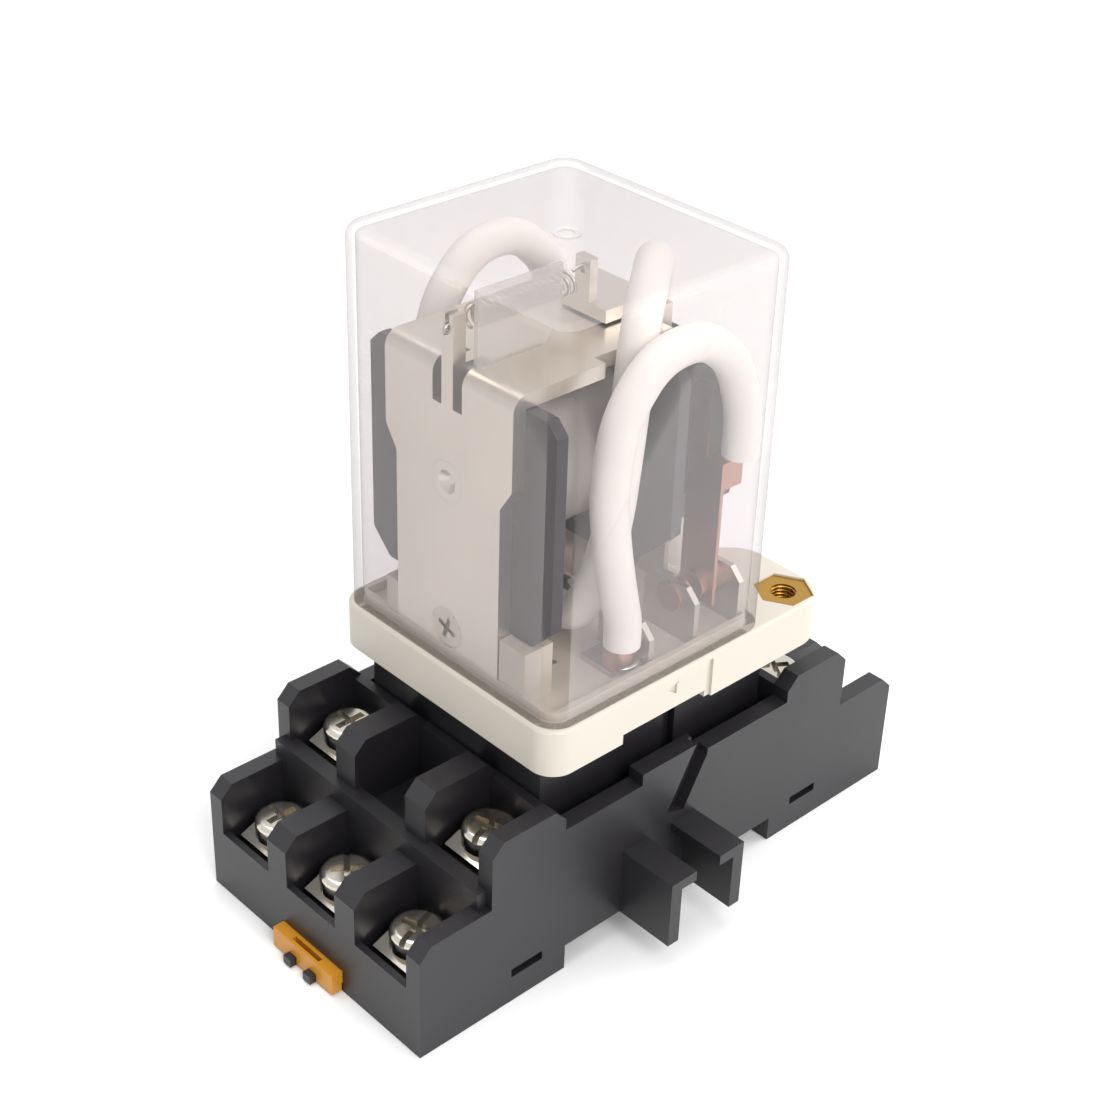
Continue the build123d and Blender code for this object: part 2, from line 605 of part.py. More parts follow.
def relay_base():
    base = rounded_plate(SEAT_TOP, BASE_TOP)
    base = fillet(base.faces().sort_by(Axis.Z)[-1].outer_wire().edges(), 0.5)
    base += rim(BASE_TOP - 0.5, BASE_TOP + RIM_HEIGHT)
    half = BASE_WIDTH / 2
    # raised edge of the skirt, step line and finger mark on both long sides
    for y in (-half, half):
        base -= box(-9.6, 4.3, y - 1.6, y + 1.6, SEAT_TOP - 1, SEAT_TOP + 1.1)
        base -= box(4.3, 5.1, y - 0.4, y + 0.4, SEAT_TOP - 1, BASE_TOP - 0.7)
        base -= box(-9.6, 4.4, y - 0.2, y + 0.2, SEAT_TOP - 1, BASE_TOP - 1.6)
        base -= prism_along_y([(-2.2, 32.4), (-0.8, 33.4), (-0.8, 31.4)], y - 0.5, y + 0.5)
    # mounting upright for the frame, with a post on each side of the frame's foot
    foot = FRAME_FOOT_WIDTH / 2
    post_top = BASE_TOP + POST_HEIGHT
    low = BASE_TOP - 0.5
    near, far = FRAME_MIDDLE - foot, FRAME_MIDDLE + foot
    base += box(FRAME_BACK, FRAME_BACK + 4.8, near, far, low, post_top)
    base += box(FRAME_X + 0.15, FRAME_BACK + 2.6, near - 4.4, near - 0.15, low, post_top)
    base += box(FRAME_X + 0.15, FRAME_BACK + 2.6, far + 0.15, far + 2.3, low, post_top - 1)
    base -= box(FRAME_X, FRAME_BACK, near - 0.1, far + 0.1, BASE_TOP, post_top + 1)
    base -= rod_along_x(SCREW_3_RADIUS + 0.02, FRAME_BACK - 1, FRAME_BACK + 4.2, FRAME_MIDDLE, FRAME_SCREW_Z)
    for x, y in blade_places():
        base -= blade_section(x, y, SEAT_TOP - 1, BASE_TOP + 1, 0.02)
    for y in (-INSERT_Y, INSERT_Y):
        place = Pos(INSERT_X, y, 0)
        base -= place * insert_prism(BASE_TOP - INSERT_DEPTH, BASE_TOP + 1, INSERT_FLATS + 0.04)
        base -= place * rod_along_z(INSERT_BORE_RADIUS + 0.6, 0, 0, SEAT_TOP - 1, BASE_TOP)
    return base


def hex_inserts():
    inserts = []
    for y in (-INSERT_Y, INSERT_Y):
        nut = insert_prism(BASE_TOP - INSERT_DEPTH, BASE_TOP - 0.25, INSERT_FLATS)
        nut -= rod_along_z(INSERT_BORE_RADIUS, 0, 0, SEAT_TOP, BASE_TOP + 1)
        inserts.append(Pos(INSERT_X, y, 0) * nut)
    return inserts


def contact_plate(x, y, height):
    """Upright plate with clipped top corners, in one piece with the blade below it."""
    half, clip = CONTACT_PLATE_WIDTH / 2, 1.6
    top = BASE_TOP + height
    outline = [
        (y - half, BASE_TOP),
        (y - half, top - clip),
        (y - half + clip, top),
        (y + half - clip, top),
        (y + half, top - clip),
        (y + half, BASE_TOP),
    ]
    row = strap_row(y)
    plate = prism_along_x(outline, x, x + BLADE_THICKNESS)
    return plate + blade_section(x, row, SEAT_TOP - BLADE_LENGTH, BASE_TOP + 1)


def contact_terminals(x, height):
    return [contact_plate(x, y, height) for y in (-POLE_PITCH, 0, POLE_PITCH)]


def common_terminals():
    """Plates with a cupped tab that holds the end of each lead."""
    plates = []
    for y in (-POLE_PITCH, 0, POLE_PITCH):
        plate = contact_plate(COMMON_X, y, COMMON_PLATE_HEIGHT)
        ledge = box(COMMON_X - 4.4, COMMON_X + 0.1, y - 2.6, y + 2.6, BASE_TOP, BASE_TOP + 0.8)
        plates.append(plate + ledge)
    return plates


def solder_cups():
    """Barrels on the common plates' tabs that hold the leads' ends."""
    cups = []
    for side in (-1, 1):
        cups.append(rod_along_z(CUP_RADIUS, LEAD_FOOT_X, side * (LEAD_FOOT_Y - 0.4), BASE_TOP + 0.8, LEAD_FOOT_Z))
    middle = LEAD_FOOT_X - 0.4
    cups.append(box(middle - 1.4, middle + 1.4, -1.9, 1.5, BASE_TOP + 0.8, LEAD_FOOT_Z + 1.2))
    return cups


def coil_terminals():
    posts = []
    for y in (-COIL_BLADE_Y, COIL_BLADE_Y):
        post = blade_section(COIL_BLADE_X, y, SEAT_TOP - BLADE_LENGTH, BASE_TOP)
        posts.append(post + box(COIL_BLADE_X, COIL_BLADE_X + BLADE_THICKNESS, y - 1, y + 1, BASE_TOP - 1, BASE_TOP + 4))
    return posts


def button(x0, x1, y, z=None):
    """A contact rivet's head."""
    return rod_along_x(BUTTON_RADIUS, x0, x1, y, CONTACT_Z if z is None else z)


def fixed_buttons():
    """Rivets on the open and the closed plates, facing the moving blades."""
    face = MOVING_BLADE_X + MOVING_BLADE_THICKNESS + BUTTON_HEIGHT + 0.1
    heads = []
    for y in (-POLE_PITCH, 0, POLE_PITCH):
        inner = OPEN_CONTACT_X + BLADE_THICKNESS
        heads.append(button(inner, inner + BUTTON_HEIGHT, y))
        heads.append(button(face, CLOSED_CONTACT_X, y))
        heads.append(rod_along_x(BUTTON_RADIUS * 0.95, OPEN_CONTACT_X - 0.3, OPEN_CONTACT_X, y, CONTACT_Z))
    return heads


# ---------------------------------------------------------------- frame and coil
SCREW_3_RADIUS = 1.3
FRAME_SCREW_Z = 38.4
FRAME_SCREW_HEAD = 2.6
FRAME_SCREW_CONE = 1.3


def frame():
    """Bent steel frame: a waisted front plate with a spring tongue, and a top leg."""
    wide, foot = FRAME_WIDTH / 2, FRAME_FOOT_WIDTH / 2
    m = FRAME_MIDDLE
    outline = [
        (m - foot, BASE_TOP),
        (m - foot, FRAME_NECK_BOTTOM),
        (m - wide, FRAME_NECK_TOP),
        (m - wide, FRAME_TOP),
        (m + wide, FRAME_TOP),
        (m + wide, FRAME_NECK_TOP),
        (m + foot, FRAME_NECK_BOTTOM),
        (m + foot, BASE_TOP),
    ]
    plate = prism_along_x(outline, FRAME_X, FRAME_BACK)
    near = m - wide
    plate += box(FRAME_X, FRAME_REAR, near, m + wide, FRAME_TOP - FRAME_THICKNESS, FRAME_TOP)
    notch_end = FRAME_REAR + 1
    plate -= box(FRAME_LEG_STEP_X, notch_end, near - 1, near + FRAME_LEG_STEP, FRAME_TOP - 3, FRAME_TOP + 1)
    bend = plate.edges().filter_by(Axis.Y).sort_by(lambda e: e.center().X - e.center().Z)[:1]
    plate = fillet(bend, FRAME_BEND_RADIUS)
    tongue = TONGUE_WIDTH / 2
    for y in (m - tongue - SLOT_WIDTH, m + tongue):
        back = FRAME_X + FRAME_BEND_RADIUS + 2.2
        plate -= box(FRAME_X - 1, back, y, y + SLOT_WIDTH, FRAME_TOP - SLOT_DEPTH, FRAME_TOP + 1)
    plate += box(FRAME_X, FRAME_BACK, m - tongue, m + tongue, FRAME_TOP - SLOT_DEPTH - 0.5, TONGUE_TOP)
    plate -= box(FRAME_X - 1, FRAME_BACK + 1, m - 0.35, m + 0.35, SPRING_AXIS_Z - 0.5, TONGUE_TOP + 1)
    plate -= rod_along_x(STAKE_RADIUS + 0.02, FRAME_X - 1, FRAME_BACK + 1, m, COIL_AXIS_Z)
    plate -= rod_along_x(SCREW_3_RADIUS + 0.1, FRAME_X - 1, FRAME_BACK + 1, m, FRAME_SCREW_Z)
    cone = Pos(FRAME_X + FRAME_SCREW_CONE / 2, m, FRAME_SCREW_Z) * Rot(0, 90, 0)
    return plate - cone * Cone(FRAME_SCREW_HEAD + 0.03, SCREW_3_RADIUS + 0.03, FRAME_SCREW_CONE)


def frame_screw():
    m, z = FRAME_MIDDLE, FRAME_SCREW_Z
    head = Pos(FRAME_X + FRAME_SCREW_CONE / 2, m, z) * Rot(0, 90, 0)
    screw = head * Cone(FRAME_SCREW_HEAD, SCREW_3_RADIUS, FRAME_SCREW_CONE)
    screw += rod_along_x(SCREW_3_RADIUS, FRAME_X + FRAME_SCREW_CONE - 0.2, FRAME_BACK + 4.0, m, z)
    for turn in (20, 110):
        screw -= Pos(FRAME_X, m, z) * Rot(turn, 0, 0) * Box(1.8, 0.62, 2.9)
    return screw


def flange(width, bottom, cut, x0, x1):
    """Bobbin flange with clipped upper corners and larger cuts at the lower ones."""
    half, clip = width / 2, 1.6
    m = FRAME_MIDDLE
    outline = [
        (m - half, bottom + cut),
        (m - half, BOBBIN_TOP - clip),
        (m - half + clip, BOBBIN_TOP),
        (m + half - clip, BOBBIN_TOP),
        (m + half, BOBBIN_TOP - clip),
        (m + half, bottom + cut),
        (m + half - cut, bottom),
        (m - half + cut, bottom),
    ]
    return prism_along_x(outline, x0, x1)


def bobbin():
    front_in = FRAME_BACK + FRONT_FLANGE
    rear_in = REAR_FLANGE_X - REAR_FLANGE
    body = flange(FRONT_FLANGE_WIDTH, FRONT_FLANGE_BOTTOM, 3.0, FRAME_BACK, front_in)
    body += flange(REAR_FLANGE_WIDTH, REAR_FLANGE_BOTTOM, 6.5, rear_in, REAR_FLANGE_X)
    body += rod_along_x(BOBBIN_TUBE_RADIUS, front_in - 0.5, rear_in + 0.5, FRAME_MIDDLE, COIL_AXIS_Z)
    return body - rod_along_x(CORE_RADIUS + 0.02, FRAME_BACK - 1, REAR_FLANGE_X + 1, FRAME_MIDDLE, COIL_AXIS_Z)


def coil_ring(inner, outer):
    """A sleeve between the bobbin's flanges."""
    x0, x1 = FRAME_BACK + FRONT_FLANGE, REAR_FLANGE_X - REAR_FLANGE
    ring = rod_along_x(outer, x0, x1, FRAME_MIDDLE, COIL_AXIS_Z)
    return ring - rod_along_x(inner, x0 - 1, x1 + 1, FRAME_MIDDLE, COIL_AXIS_Z)


def iron_core():
    m, z = FRAME_MIDDLE, COIL_AXIS_Z
    core = rod_along_x(CORE_RADIUS, FRAME_BACK, REAR_FLANGE_X, m, z)
    core += rod_along_x(STAKE_RADIUS, FRAME_X, FRAME_BACK, m, z)
    core += rod_along_x(POLE_RADIUS, REAR_FLANGE_X, POLE_X, m, z)
    dimple = Pos(FRAME_X + 0.3, m, z) * Rot(0, 90, 0) * Cone(1.5, 0.5, 0.7)
    return core - dimple


def armature():
    """Bent steel plate that rocks on the frame's rear edge, with a spring tail."""
    half, tail = ARMATURE_WIDTH / 2, ARMATURE_TAIL_WIDTH / 2
    m, x = FRAME_MIDDLE, ARMATURE_X
    z = FRAME_TOP + ARMATURE_CLEARANCE
    thick = ARMATURE_THICKNESS
    plate = box(x, x + thick, m - half, m + half, ARMATURE_BOTTOM, z + thick)
    plate += box(x - TAIL_LENGTH, x + thick, m - tail, m + tail, z, z + thick)
    post = x - TAIL_LENGTH
    plate += box(post, post + 1.2, m - 1.2, m + 1.2, z, TAIL_TOP)
    notch_z = SPRING_AXIS_Z + 1.2
    return plate - box(post - 1, post + 2.2, m - 0.35, m + 0.35, notch_z - 0.6, notch_z + 0.4)


def contact_carrier():
    """Moulded insulator on the armature's back, with spacers and a rib above each pole."""
    back = ARMATURE_X + ARMATURE_THICKNESS
    front = MOVING_BLADE_X + MOVING_BLADE_THICKNESS
    half = CARRIER_LENGTH / 2
    body = box(front, CARRIER_RIGHT, -half, half, CARRIER_BOTTOM, CARRIER_TOP)
    for y in (-POLE_PITCH / 2, POLE_PITCH / 2):
        body += box(back, front + 0.1, y - 1.4, y + 1.4, CARRIER_BOTTOM, CARRIER_TOP)
        body += box(front, CARRIER_RIGHT - 1.2, y - 1.1, y + 1.1, CARRIER_BOTTOM - 5, CARRIER_BOTTOM + 0.1)
    return body


def moving_blades():
    blades = []
    for y in (-POLE_PITCH, 0, POLE_PITCH):
        half = MOVING_BLADE_WIDTH / 2
        x0, x1 = MOVING_BLADE_X, MOVING_BLADE_X + MOVING_BLADE_THICKNESS
        blade = box(x0, x1, y - half, y + half, MOVING_BLADE_BOTTOM, MOVING_BLADE_SHOULDER)
        edge = min(half, CARRIER_LENGTH / 2 - abs(y))
        low, high = (y - half, y + edge) if y > 0 else (y - edge, y + half)
        blade += box(x0, x1, low, high, MOVING_BLADE_SHOULDER, MOVING_BLADE_TOP)
        blades.append(blade)
    return blades


def lead_lugs():
    """Solder lugs on the two outer blades and on the carrier's top, one under each lead's end."""
    lugs = []
    blade_face = MOVING_BLADE_X + MOVING_BLADE_THICKNESS
    outer = POLE_PITCH + MOVING_BLADE_WIDTH / 2
    inner = CARRIER_LENGTH / 2 + 0.1
    for side in (-1, 1):
        ends = sorted((side * inner, side * outer))
        lugs.append(box(blade_face, blade_face + 3.0, *ends, LUG_TOP - 3.6, LUG_TOP))
    lugs.append(rod_along_z(1.7, LEAD_END_X, 0, CARRIER_TOP, MIDDLE_END_Z - 0.3))
    return lugs


def moving_buttons():
    x0, x1 = MOVING_BLADE_X, MOVING_BLADE_X + MOVING_BLADE_THICKNESS
    heads = []
    for y in (-POLE_PITCH, 0, POLE_PITCH):
        heads.append(button(x0 - BUTTON_HEIGHT, x0, y))
        heads.append(button(x1, x1 + BUTTON_HEIGHT, y))
    return heads


def return_spring():
    """Close-wound tension spring between the frame's tongue and the armature's tail."""
    x0 = FRAME_BACK + 1.6
    x1 = ARMATURE_X - TAIL_LENGTH - 1.6
    turns = int((x1 - x0) / SPRING_PITCH)
    path = Helix(SPRING_PITCH, turns * SPRING_PITCH, SPRING_RADIUS)
    section = Plane(origin=path @ 0, z_dir=path % 0) * Circle(SPRING_WIRE)
    coil = Pos(x0, FRAME_MIDDLE, SPRING_AXIS_Z) * Rot(0, 90, 0) * sweep(section, path=path)
    return coil


def spring_guard():
    """Translucent insulating card that stands on the frame beside the spring."""
    x0, x1 = FRAME_BACK - 0.2, FRAME_BACK + 12.0
    y = FRAME_MIDDLE - TONGUE_WIDTH / 2 - SLOT_WIDTH - GUARD_THICKNESS
    outline = [
        (x0, FRAME_TOP),
        (x0, FRAME_TOP + 9.0),
        (x1, FRAME_TOP + 9.0),
        (x1, FRAME_TOP + 3.0),
        (x1 - 2.5, FRAME_TOP),
    ]
    return prism_along_y(outline, y - 0.02, y + GUARD_THICKNESS - 0.02)


# ---------------------------------------------------------------- leads


def arc_radii(points):
    """The largest arc that each corner's two runs allow."""
    radii = []
    for a, b, c in zip(points, points[1:], points[2:]):
        run_in, run_out = Vector(b) - Vector(a), Vector(c) - Vector(b)
        turn = radians(run_in.get_angle(run_out))
        radii.append(0.45 * min(run_in.length, run_out.length) / tan(turn / 2))
    return radii


def lead(name, points):
    """A round sleeve along straight runs joined by tangent arcs."""
    radii = arc_radii(points)
    path = FilletPolyline(*points, radius=radii)
    section = Plane(origin=path @ 0, z_dir=path % 0) * Circle(SLEEVE_RADIUS)
    tube = sweep(section, path=path)
    expected = pi * SLEEVE_RADIUS**2 * path.length
    print(name, "radii", [round(r, 1) for r in radii], "volume ratio", round(tube.volume / expected, 4))
    return tube


LEAD_Y = COVER_INNER_WIDTH / 2 - SLEEVE_RADIUS - 0.15
LEAD_FOOT_Y = 14.4
LEAD_FOOT_X = COMMON_X - SLEEVE_RADIUS - 0.1
LEAD_FOOT_Z = BASE_TOP + 3.6
LEAD_END_X = COVER_INNER_RIGHT - SLEEVE_RADIUS - 0.3
LEAD_END_Z = 57.6
LUG_TOP = LEAD_END_Z - 0.7
MIDDLE_END_Z = CARRIER_TOP + 1.8
NEAR_LEAD = [
    (LEAD_FOOT_X, -LEAD_FOOT_Y, LEAD_FOOT_Z),
    (LEAD_FOOT_X, -LEAD_FOOT_Y, 41.4),
    (-8.5, -LEAD_Y, 49.7),
    (-10.2, -LEAD_Y, 60.2),
    (-8.6, -LEAD_Y, 69.0),
    (-3.8, -LEAD_Y, 74.4),
    (3.2, -LEAD_Y, 74.8),
    (8.6, -LEAD_Y, 70.6),
    (LEAD_END_X, -LEAD_Y, 63.4),
    (LEAD_END_X, -LEAD_Y, LEAD_END_Z),
]
FAR_LEAD = [
    (LEAD_FOOT_X, LEAD_FOOT_Y, LEAD_FOOT_Z),
    (LEAD_FOOT_X, LEAD_FOOT_Y, 41.4),
    (-8.5, LEAD_Y, 49.7),
    (-10.2, LEAD_Y, 61.0),
    (-8.4, LEAD_Y, 71.2),
    (-3.4, LEAD_Y, 76.8),
    (3.6, LEAD_Y, 77.0),
    (8.8, LEAD_Y, 72.0),
    (LEAD_END_X, LEAD_Y, 64.0),
    (LEAD_END_X, LEAD_Y, LEAD_END_Z),
]
MIDDLE_LEAD = [
    (LEAD_FOOT_X - 0.4, -1.9, LEAD_FOOT_Z + 0.1),
    (LEAD_FOOT_X - 0.4, -6.6, LEAD_FOOT_Z + 0.1),
    (-5.4, -9.4, 43.6),
    (-4.2, -10.7, 52.0),
    (-2.8, -10.7, 63.6),
    (-1.8, -10.7, 75.2),
    (1.8, -8.4, 79.4),
    (6.4, -4.6, 79.6),
    (10.4, -0.9, 76.4),
    (LEAD_END_X, 0, MIDDLE_END_Z),
]


# ---------------------------------------------------------------- cover


def cover():
    """Clear five-sided cover with rounded edges and a small moulding mark on top."""
    length = COVER_RIGHT - COVER_LEFT
    middle = (COVER_RIGHT + COVER_LEFT) / 2
    height = COVER_TOP - BASE_TOP
    outer = Pos(middle, 0, BASE_TOP) * extrude(RectangleRounded(length, COVER_WIDTH, COVER_CORNER), amount=height)
    outer = fillet(outer.faces().sort_by(Axis.Z)[-1].outer_wire().edges(), COVER_EDGE)
    inner_size = (length - 2 * COVER_WALL, COVER_INNER_WIDTH)
    radius = COVER_CORNER - COVER_WALL
    hollow = extrude(RectangleRounded(*inner_size, radius), amount=height - COVER_WALL + 1)
    hollow = fillet(hollow.faces().sort_by(Axis.Z)[-1].outer_wire().edges(), COVER_EDGE - COVER_WALL)
    shell = outer - Pos(middle, 0, BASE_TOP - 1) * hollow
    mark = Pos(middle, 0, COVER_TOP) * (Cylinder(1.6, 0.3) - Cylinder(0.9, 0.3))
    return shell - mark


def main():
    os.makedirs("parts", exist_ok=True)
    save("socket_body", socket_body())
    save("bottom_plate", bottom_plate())
    save("bottom_plate_screws", *bottom_plate_screws())
    save("rail_clip", rail_clip())
    save("clip_grips", *clip_grips())
    for side, word in ((-1, "left"), (1, "right")):
        group = [terminal for terminal in terminals() if terminal[0] == side]
        save(f"terminal_straps_{word}", *[strap(*terminal) for terminal in group])
        save(f"terminal_nuts_{word}", *[terminal_nut(*terminal) for terminal in group])
        save(f"terminal_screws_{word}", *[terminal_screw(*terminal) for terminal in group])
        save(f"saddle_clamps_{word}", *[saddle(*terminal) for terminal in group])
    save("contact_clips", *[contact_clip(x, y) for x, y in blade_places()])

    save("relay_base", relay_base())
    save("hex_inserts", *hex_inserts())
    save("open_contact_terminals", *contact_terminals(OPEN_CONTACT_X, CONTACT_PLATE_HEIGHT))
    save("closed_contact_terminals", *contact_terminals(CLOSED_CONTACT_X, CONTACT_PLATE_HEIGHT))
    save("common_terminals", *common_terminals())
    save("solder_cups", *solder_cups())
    save("coil_terminals", *coil_terminals())
    save("fixed_contact_buttons", *fixed_buttons())
    save("magnet_frame", frame())
    save("frame_screw", frame_screw())
    save("coil_bobbin", bobbin())
    save("coil_winding", coil_ring(BOBBIN_TUBE_RADIUS, COIL_RADIUS))
    save("coil_wrap", coil_ring(COIL_RADIUS, COIL_RADIUS + WRAP_THICKNESS))
    save("iron_core", iron_core())
    save("spring_guard", spring_guard())
    save("return_spring", return_spring())
    save("lead_near", lead("near lead", NEAR_LEAD))
    save("lead_middle", lead("middle lead", MIDDLE_LEAD))
    save("lead_far", lead("far lead", FAR_LEAD))

    save("armature", armature())
    save("contact_carrier", contact_carrier())
    save("moving_blades", *moving_blades())
    save("lead_lugs", *lead_lugs())
    save("moving_contact_buttons", *moving_buttons())

    save("clear_cover", cover())


main()
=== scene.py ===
import logging
import math
from dataclasses import dataclass, field
from enum import Enum

import bmesh
import bpy
from mathutils import Matrix, Vector


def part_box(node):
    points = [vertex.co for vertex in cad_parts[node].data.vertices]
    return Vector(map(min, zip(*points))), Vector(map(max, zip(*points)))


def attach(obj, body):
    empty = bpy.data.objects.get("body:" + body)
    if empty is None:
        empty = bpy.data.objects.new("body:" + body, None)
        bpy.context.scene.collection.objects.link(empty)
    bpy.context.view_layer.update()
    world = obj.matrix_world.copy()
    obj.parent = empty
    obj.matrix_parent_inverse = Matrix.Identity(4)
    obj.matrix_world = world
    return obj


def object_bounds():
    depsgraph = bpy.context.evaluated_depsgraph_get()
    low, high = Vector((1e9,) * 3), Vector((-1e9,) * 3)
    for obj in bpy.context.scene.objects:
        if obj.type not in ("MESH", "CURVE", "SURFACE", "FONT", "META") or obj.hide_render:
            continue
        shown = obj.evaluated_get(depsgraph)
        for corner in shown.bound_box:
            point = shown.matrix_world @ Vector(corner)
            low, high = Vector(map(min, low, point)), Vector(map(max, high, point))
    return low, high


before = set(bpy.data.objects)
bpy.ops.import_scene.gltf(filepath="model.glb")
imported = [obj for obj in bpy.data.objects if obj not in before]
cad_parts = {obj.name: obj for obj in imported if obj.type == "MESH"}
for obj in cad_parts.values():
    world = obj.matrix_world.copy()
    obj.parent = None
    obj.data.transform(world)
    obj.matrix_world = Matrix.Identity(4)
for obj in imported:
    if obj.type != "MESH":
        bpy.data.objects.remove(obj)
CAD_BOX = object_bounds()

log = logging.getLogger("relay")
MM = 0.001

RING_SIDES = 48  # of a thread turn, seen from above
SECTION_SIDES = 8  # of a thread turn's section
WIRE_ROUNDNESS = 4  # Blender's bevel resolution of a wire's section
WIRE_STEPS = 10  # Blender's resolution along a wire, between its points
NOISE_DETAIL = 3.0  # of the rolling lines and of the broad drift
GRAIN_DETAIL = 4.0  # of a moulded grain
WAVE_DETAIL = 1.0  # of a plain, gently waved surface


class Pattern(Enum):
    """How a surface's fine relief is laid out."""

    PLAIN = "plain"
    MOULDED = "moulded"
    ROLLED = "rolled"
    TURNED = "turned"
    WOUND = "wound"
    BRAIDED = "braided"


@dataclass(frozen=True)
class Finish:
    """A real material, as it looks on this object.

    Args:
        name: the real material's name, which the Blender material takes.
        colour: sRGB hex of the base colour.
        roughness: middle of the roughness range.
        metallic: 1 for a bare metal, 0 for anything else.
        ior: index of refraction, for what isn't a metal.
        pattern: layout of the fine relief.
        feature_mm: size of one grain, line or thread of the relief.
        depth_mm: height of the relief.
        mottle: how far the colour and roughness wander, 0 to 1.
        clear: share of light that a clear sheet's surface lets straight through, 0 for a solid look.
        haze: share of a clear sheet's surface that scatters light.
        coat: weight of a clear top layer.
        subsurface: weight of light spread under the surface.
    """

    name: str
    colour: str
    roughness: float
    metallic: float = 0.0
    ior: float = 1.5
    pattern: Pattern = Pattern.MOULDED
    feature_mm: float = 0.35
    depth_mm: float = 0.01
    mottle: float = 0.1
    clear: float = 0.0
    haze: float = 0.0
    coat: float = 0.0
    subsurface: float = 0.0


# The moulded grain of the three dull plastics and the rolling lines of the strip metals are drawn
# several times coarser than real ones, which would be too fine to show.

# Glass-filled polyamide of the socket: dull black, with the fine grain of a spark-eroded tool
BLACK_PLASTIC = Finish(
    "black_polyamide", "#1B191D", 0.42, ior=1.53, feature_mm=0.3, depth_mm=0.008, mottle=0.16
)
# Acetal of the clip: waxy and smooth, from a polished tool
ORANGE_PLASTIC = Finish(
    "orange_acetal", "#C98A22", 0.36, ior=1.48, feature_mm=0.6, depth_mm=0.006, subsurface=0.08
)
# Mineral-filled polyester of the relay base: even, warm and half matt
CREAM_PLASTIC = Finish(
    "cream_polyester", "#C9C2B6", 0.42, ior=1.55, feature_mm=0.4, depth_mm=0.006, mottle=0.05
)
# Dark polyester of the bobbin and the contact carrier: half matt
GREY_PLASTIC = Finish("dark_grey_polyester", "#3A383D", 0.45, ior=1.54, feature_mm=0.3, depth_mm=0.003)
# Bright nickel over steel, on the terminal hardware: sharp reflections, slightly uneven
BRIGHT_NICKEL = Finish("bright_nickel_plate", "#D2CCC1", 0.18, 1.0, 1.5, Pattern.ROLLED, 0.25, 0.001, 0.2)
# Satin nickel over pressed steel, on the magnet's frame and armature: pale, soft reflections
SATIN_NICKEL = Finish("satin_nickel_plate", "#E6E0D5", 0.3, 1.0, 1.5, Pattern.ROLLED, 0.12, 0.0005, 0.15)
# Free-machining brass of the inserts: turning marks about a tenth of a millimetre apart
BRASS = Finish("turned_brass", "#B78F45", 0.26, 1.0, 1.5, Pattern.TURNED, 0.12, 0.004, 0.15)
# Phosphor bronze spring strip: warm, with faint rolling lines
SPRING_BRONZE = Finish("phosphor_bronze", "#B98A58", 0.3, 1.0, 1.5, Pattern.ROLLED, 0.15, 0.003, 0.15)
# Tinned copper strip of the contact plates: grey and a little dull
TINNED_COPPER = Finish("tinned_copper", "#BDB8B0", 0.34, 1.0, 1.5, Pattern.ROLLED, 0.15, 0.001, 0.2)
# Bare copper alloy of the contact rivets, the moving blades and the solder cups: pink and dull
CONTACT_COPPER = Finish("contact_copper", "#B58B76", 0.32, 1.0, 1.5, Pattern.ROLLED, 0.15, 0.0008, 0.2)
# Tin-lead solder: smooth, pale and uneven
SOLDER = Finish("solder", "#BDBAB4", 0.3, 1.0, 1.5, Pattern.PLAIN, 0.5, 0.01, 0.25)
# Enamelled copper wire of the coil: dark red gloss, one line to a turn
ENAMELLED_WIRE = Finish(
    "enamelled_wire", "#8C3F1E", 0.25, 0.0, 1.55, Pattern.WOUND, 0.14, 0.02, 0.1, coat=0.5
)
# Polyester film round the coil: pale, with a gentle wave where it is stretched
LABEL_FILM = Finish(
    "polyester_film", "#C9C6C3", 0.38, ior=1.57, pattern=Pattern.PLAIN, feature_mm=3.0, depth_mm=0.02
)
# Drawn spring wire: bright and smooth
SPRING_WIRE = Finish("spring_steel", "#BDB8B0", 0.28, 1.0, 1.5, Pattern.PLAIN, 0.1, 0.002, 0.1)
# Silicone sleeve, half matt, with the threads of its woven liner showing through
WHITE_SLEEVE = Finish(
    "white_silicone",
    "#F6F3EE",
    0.5,
    ior=1.42,
    pattern=Pattern.BRAIDED,
    feature_mm=0.7,
    depth_mm=0.012,
    mottle=0.04,
)
# Milky polyester card: lets light through, with a soft haze
CLEAR_CARD = Finish(
    "polyester_card",
    "#EDEBE8",
    0.25,
    ior=1.57,
    pattern=Pattern.PLAIN,
    feature_mm=2.0,
    depth_mm=0.004,
    clear=0.94,
    haze=0.34,
)
# Slightly smoky polycarbonate of the cover: glossy, with the slow wave of a thin moulding
CLEAR_COVER = Finish(
    "clear_polycarbonate",
    "#E7E4E4",
    0.06,
    ior=1.58,
    pattern=Pattern.PLAIN,
    feature_mm=9.0,
    depth_mm=0.004,
    clear=0.975,
    haze=0.018,
)


def linear(hex_colour: str) -> tuple[float, float, float, float]:
    """Turn an sRGB hex colour into the linear values that Blender's sockets take.

    Args:
        hex_colour: such as "#A0B1C2".

    Returns:
        Red, green, blue and an alpha of 1.
    """
    parts = [int(hex_colour[i : i + 2], 16) / 255 for i in (1, 3, 5)]
    red, green, blue = (c / 12.92 if c <= 0.04045 else ((c + 0.055) / 1.055) ** 2.4 for c in parts)
    return red, green, blue, 1.0


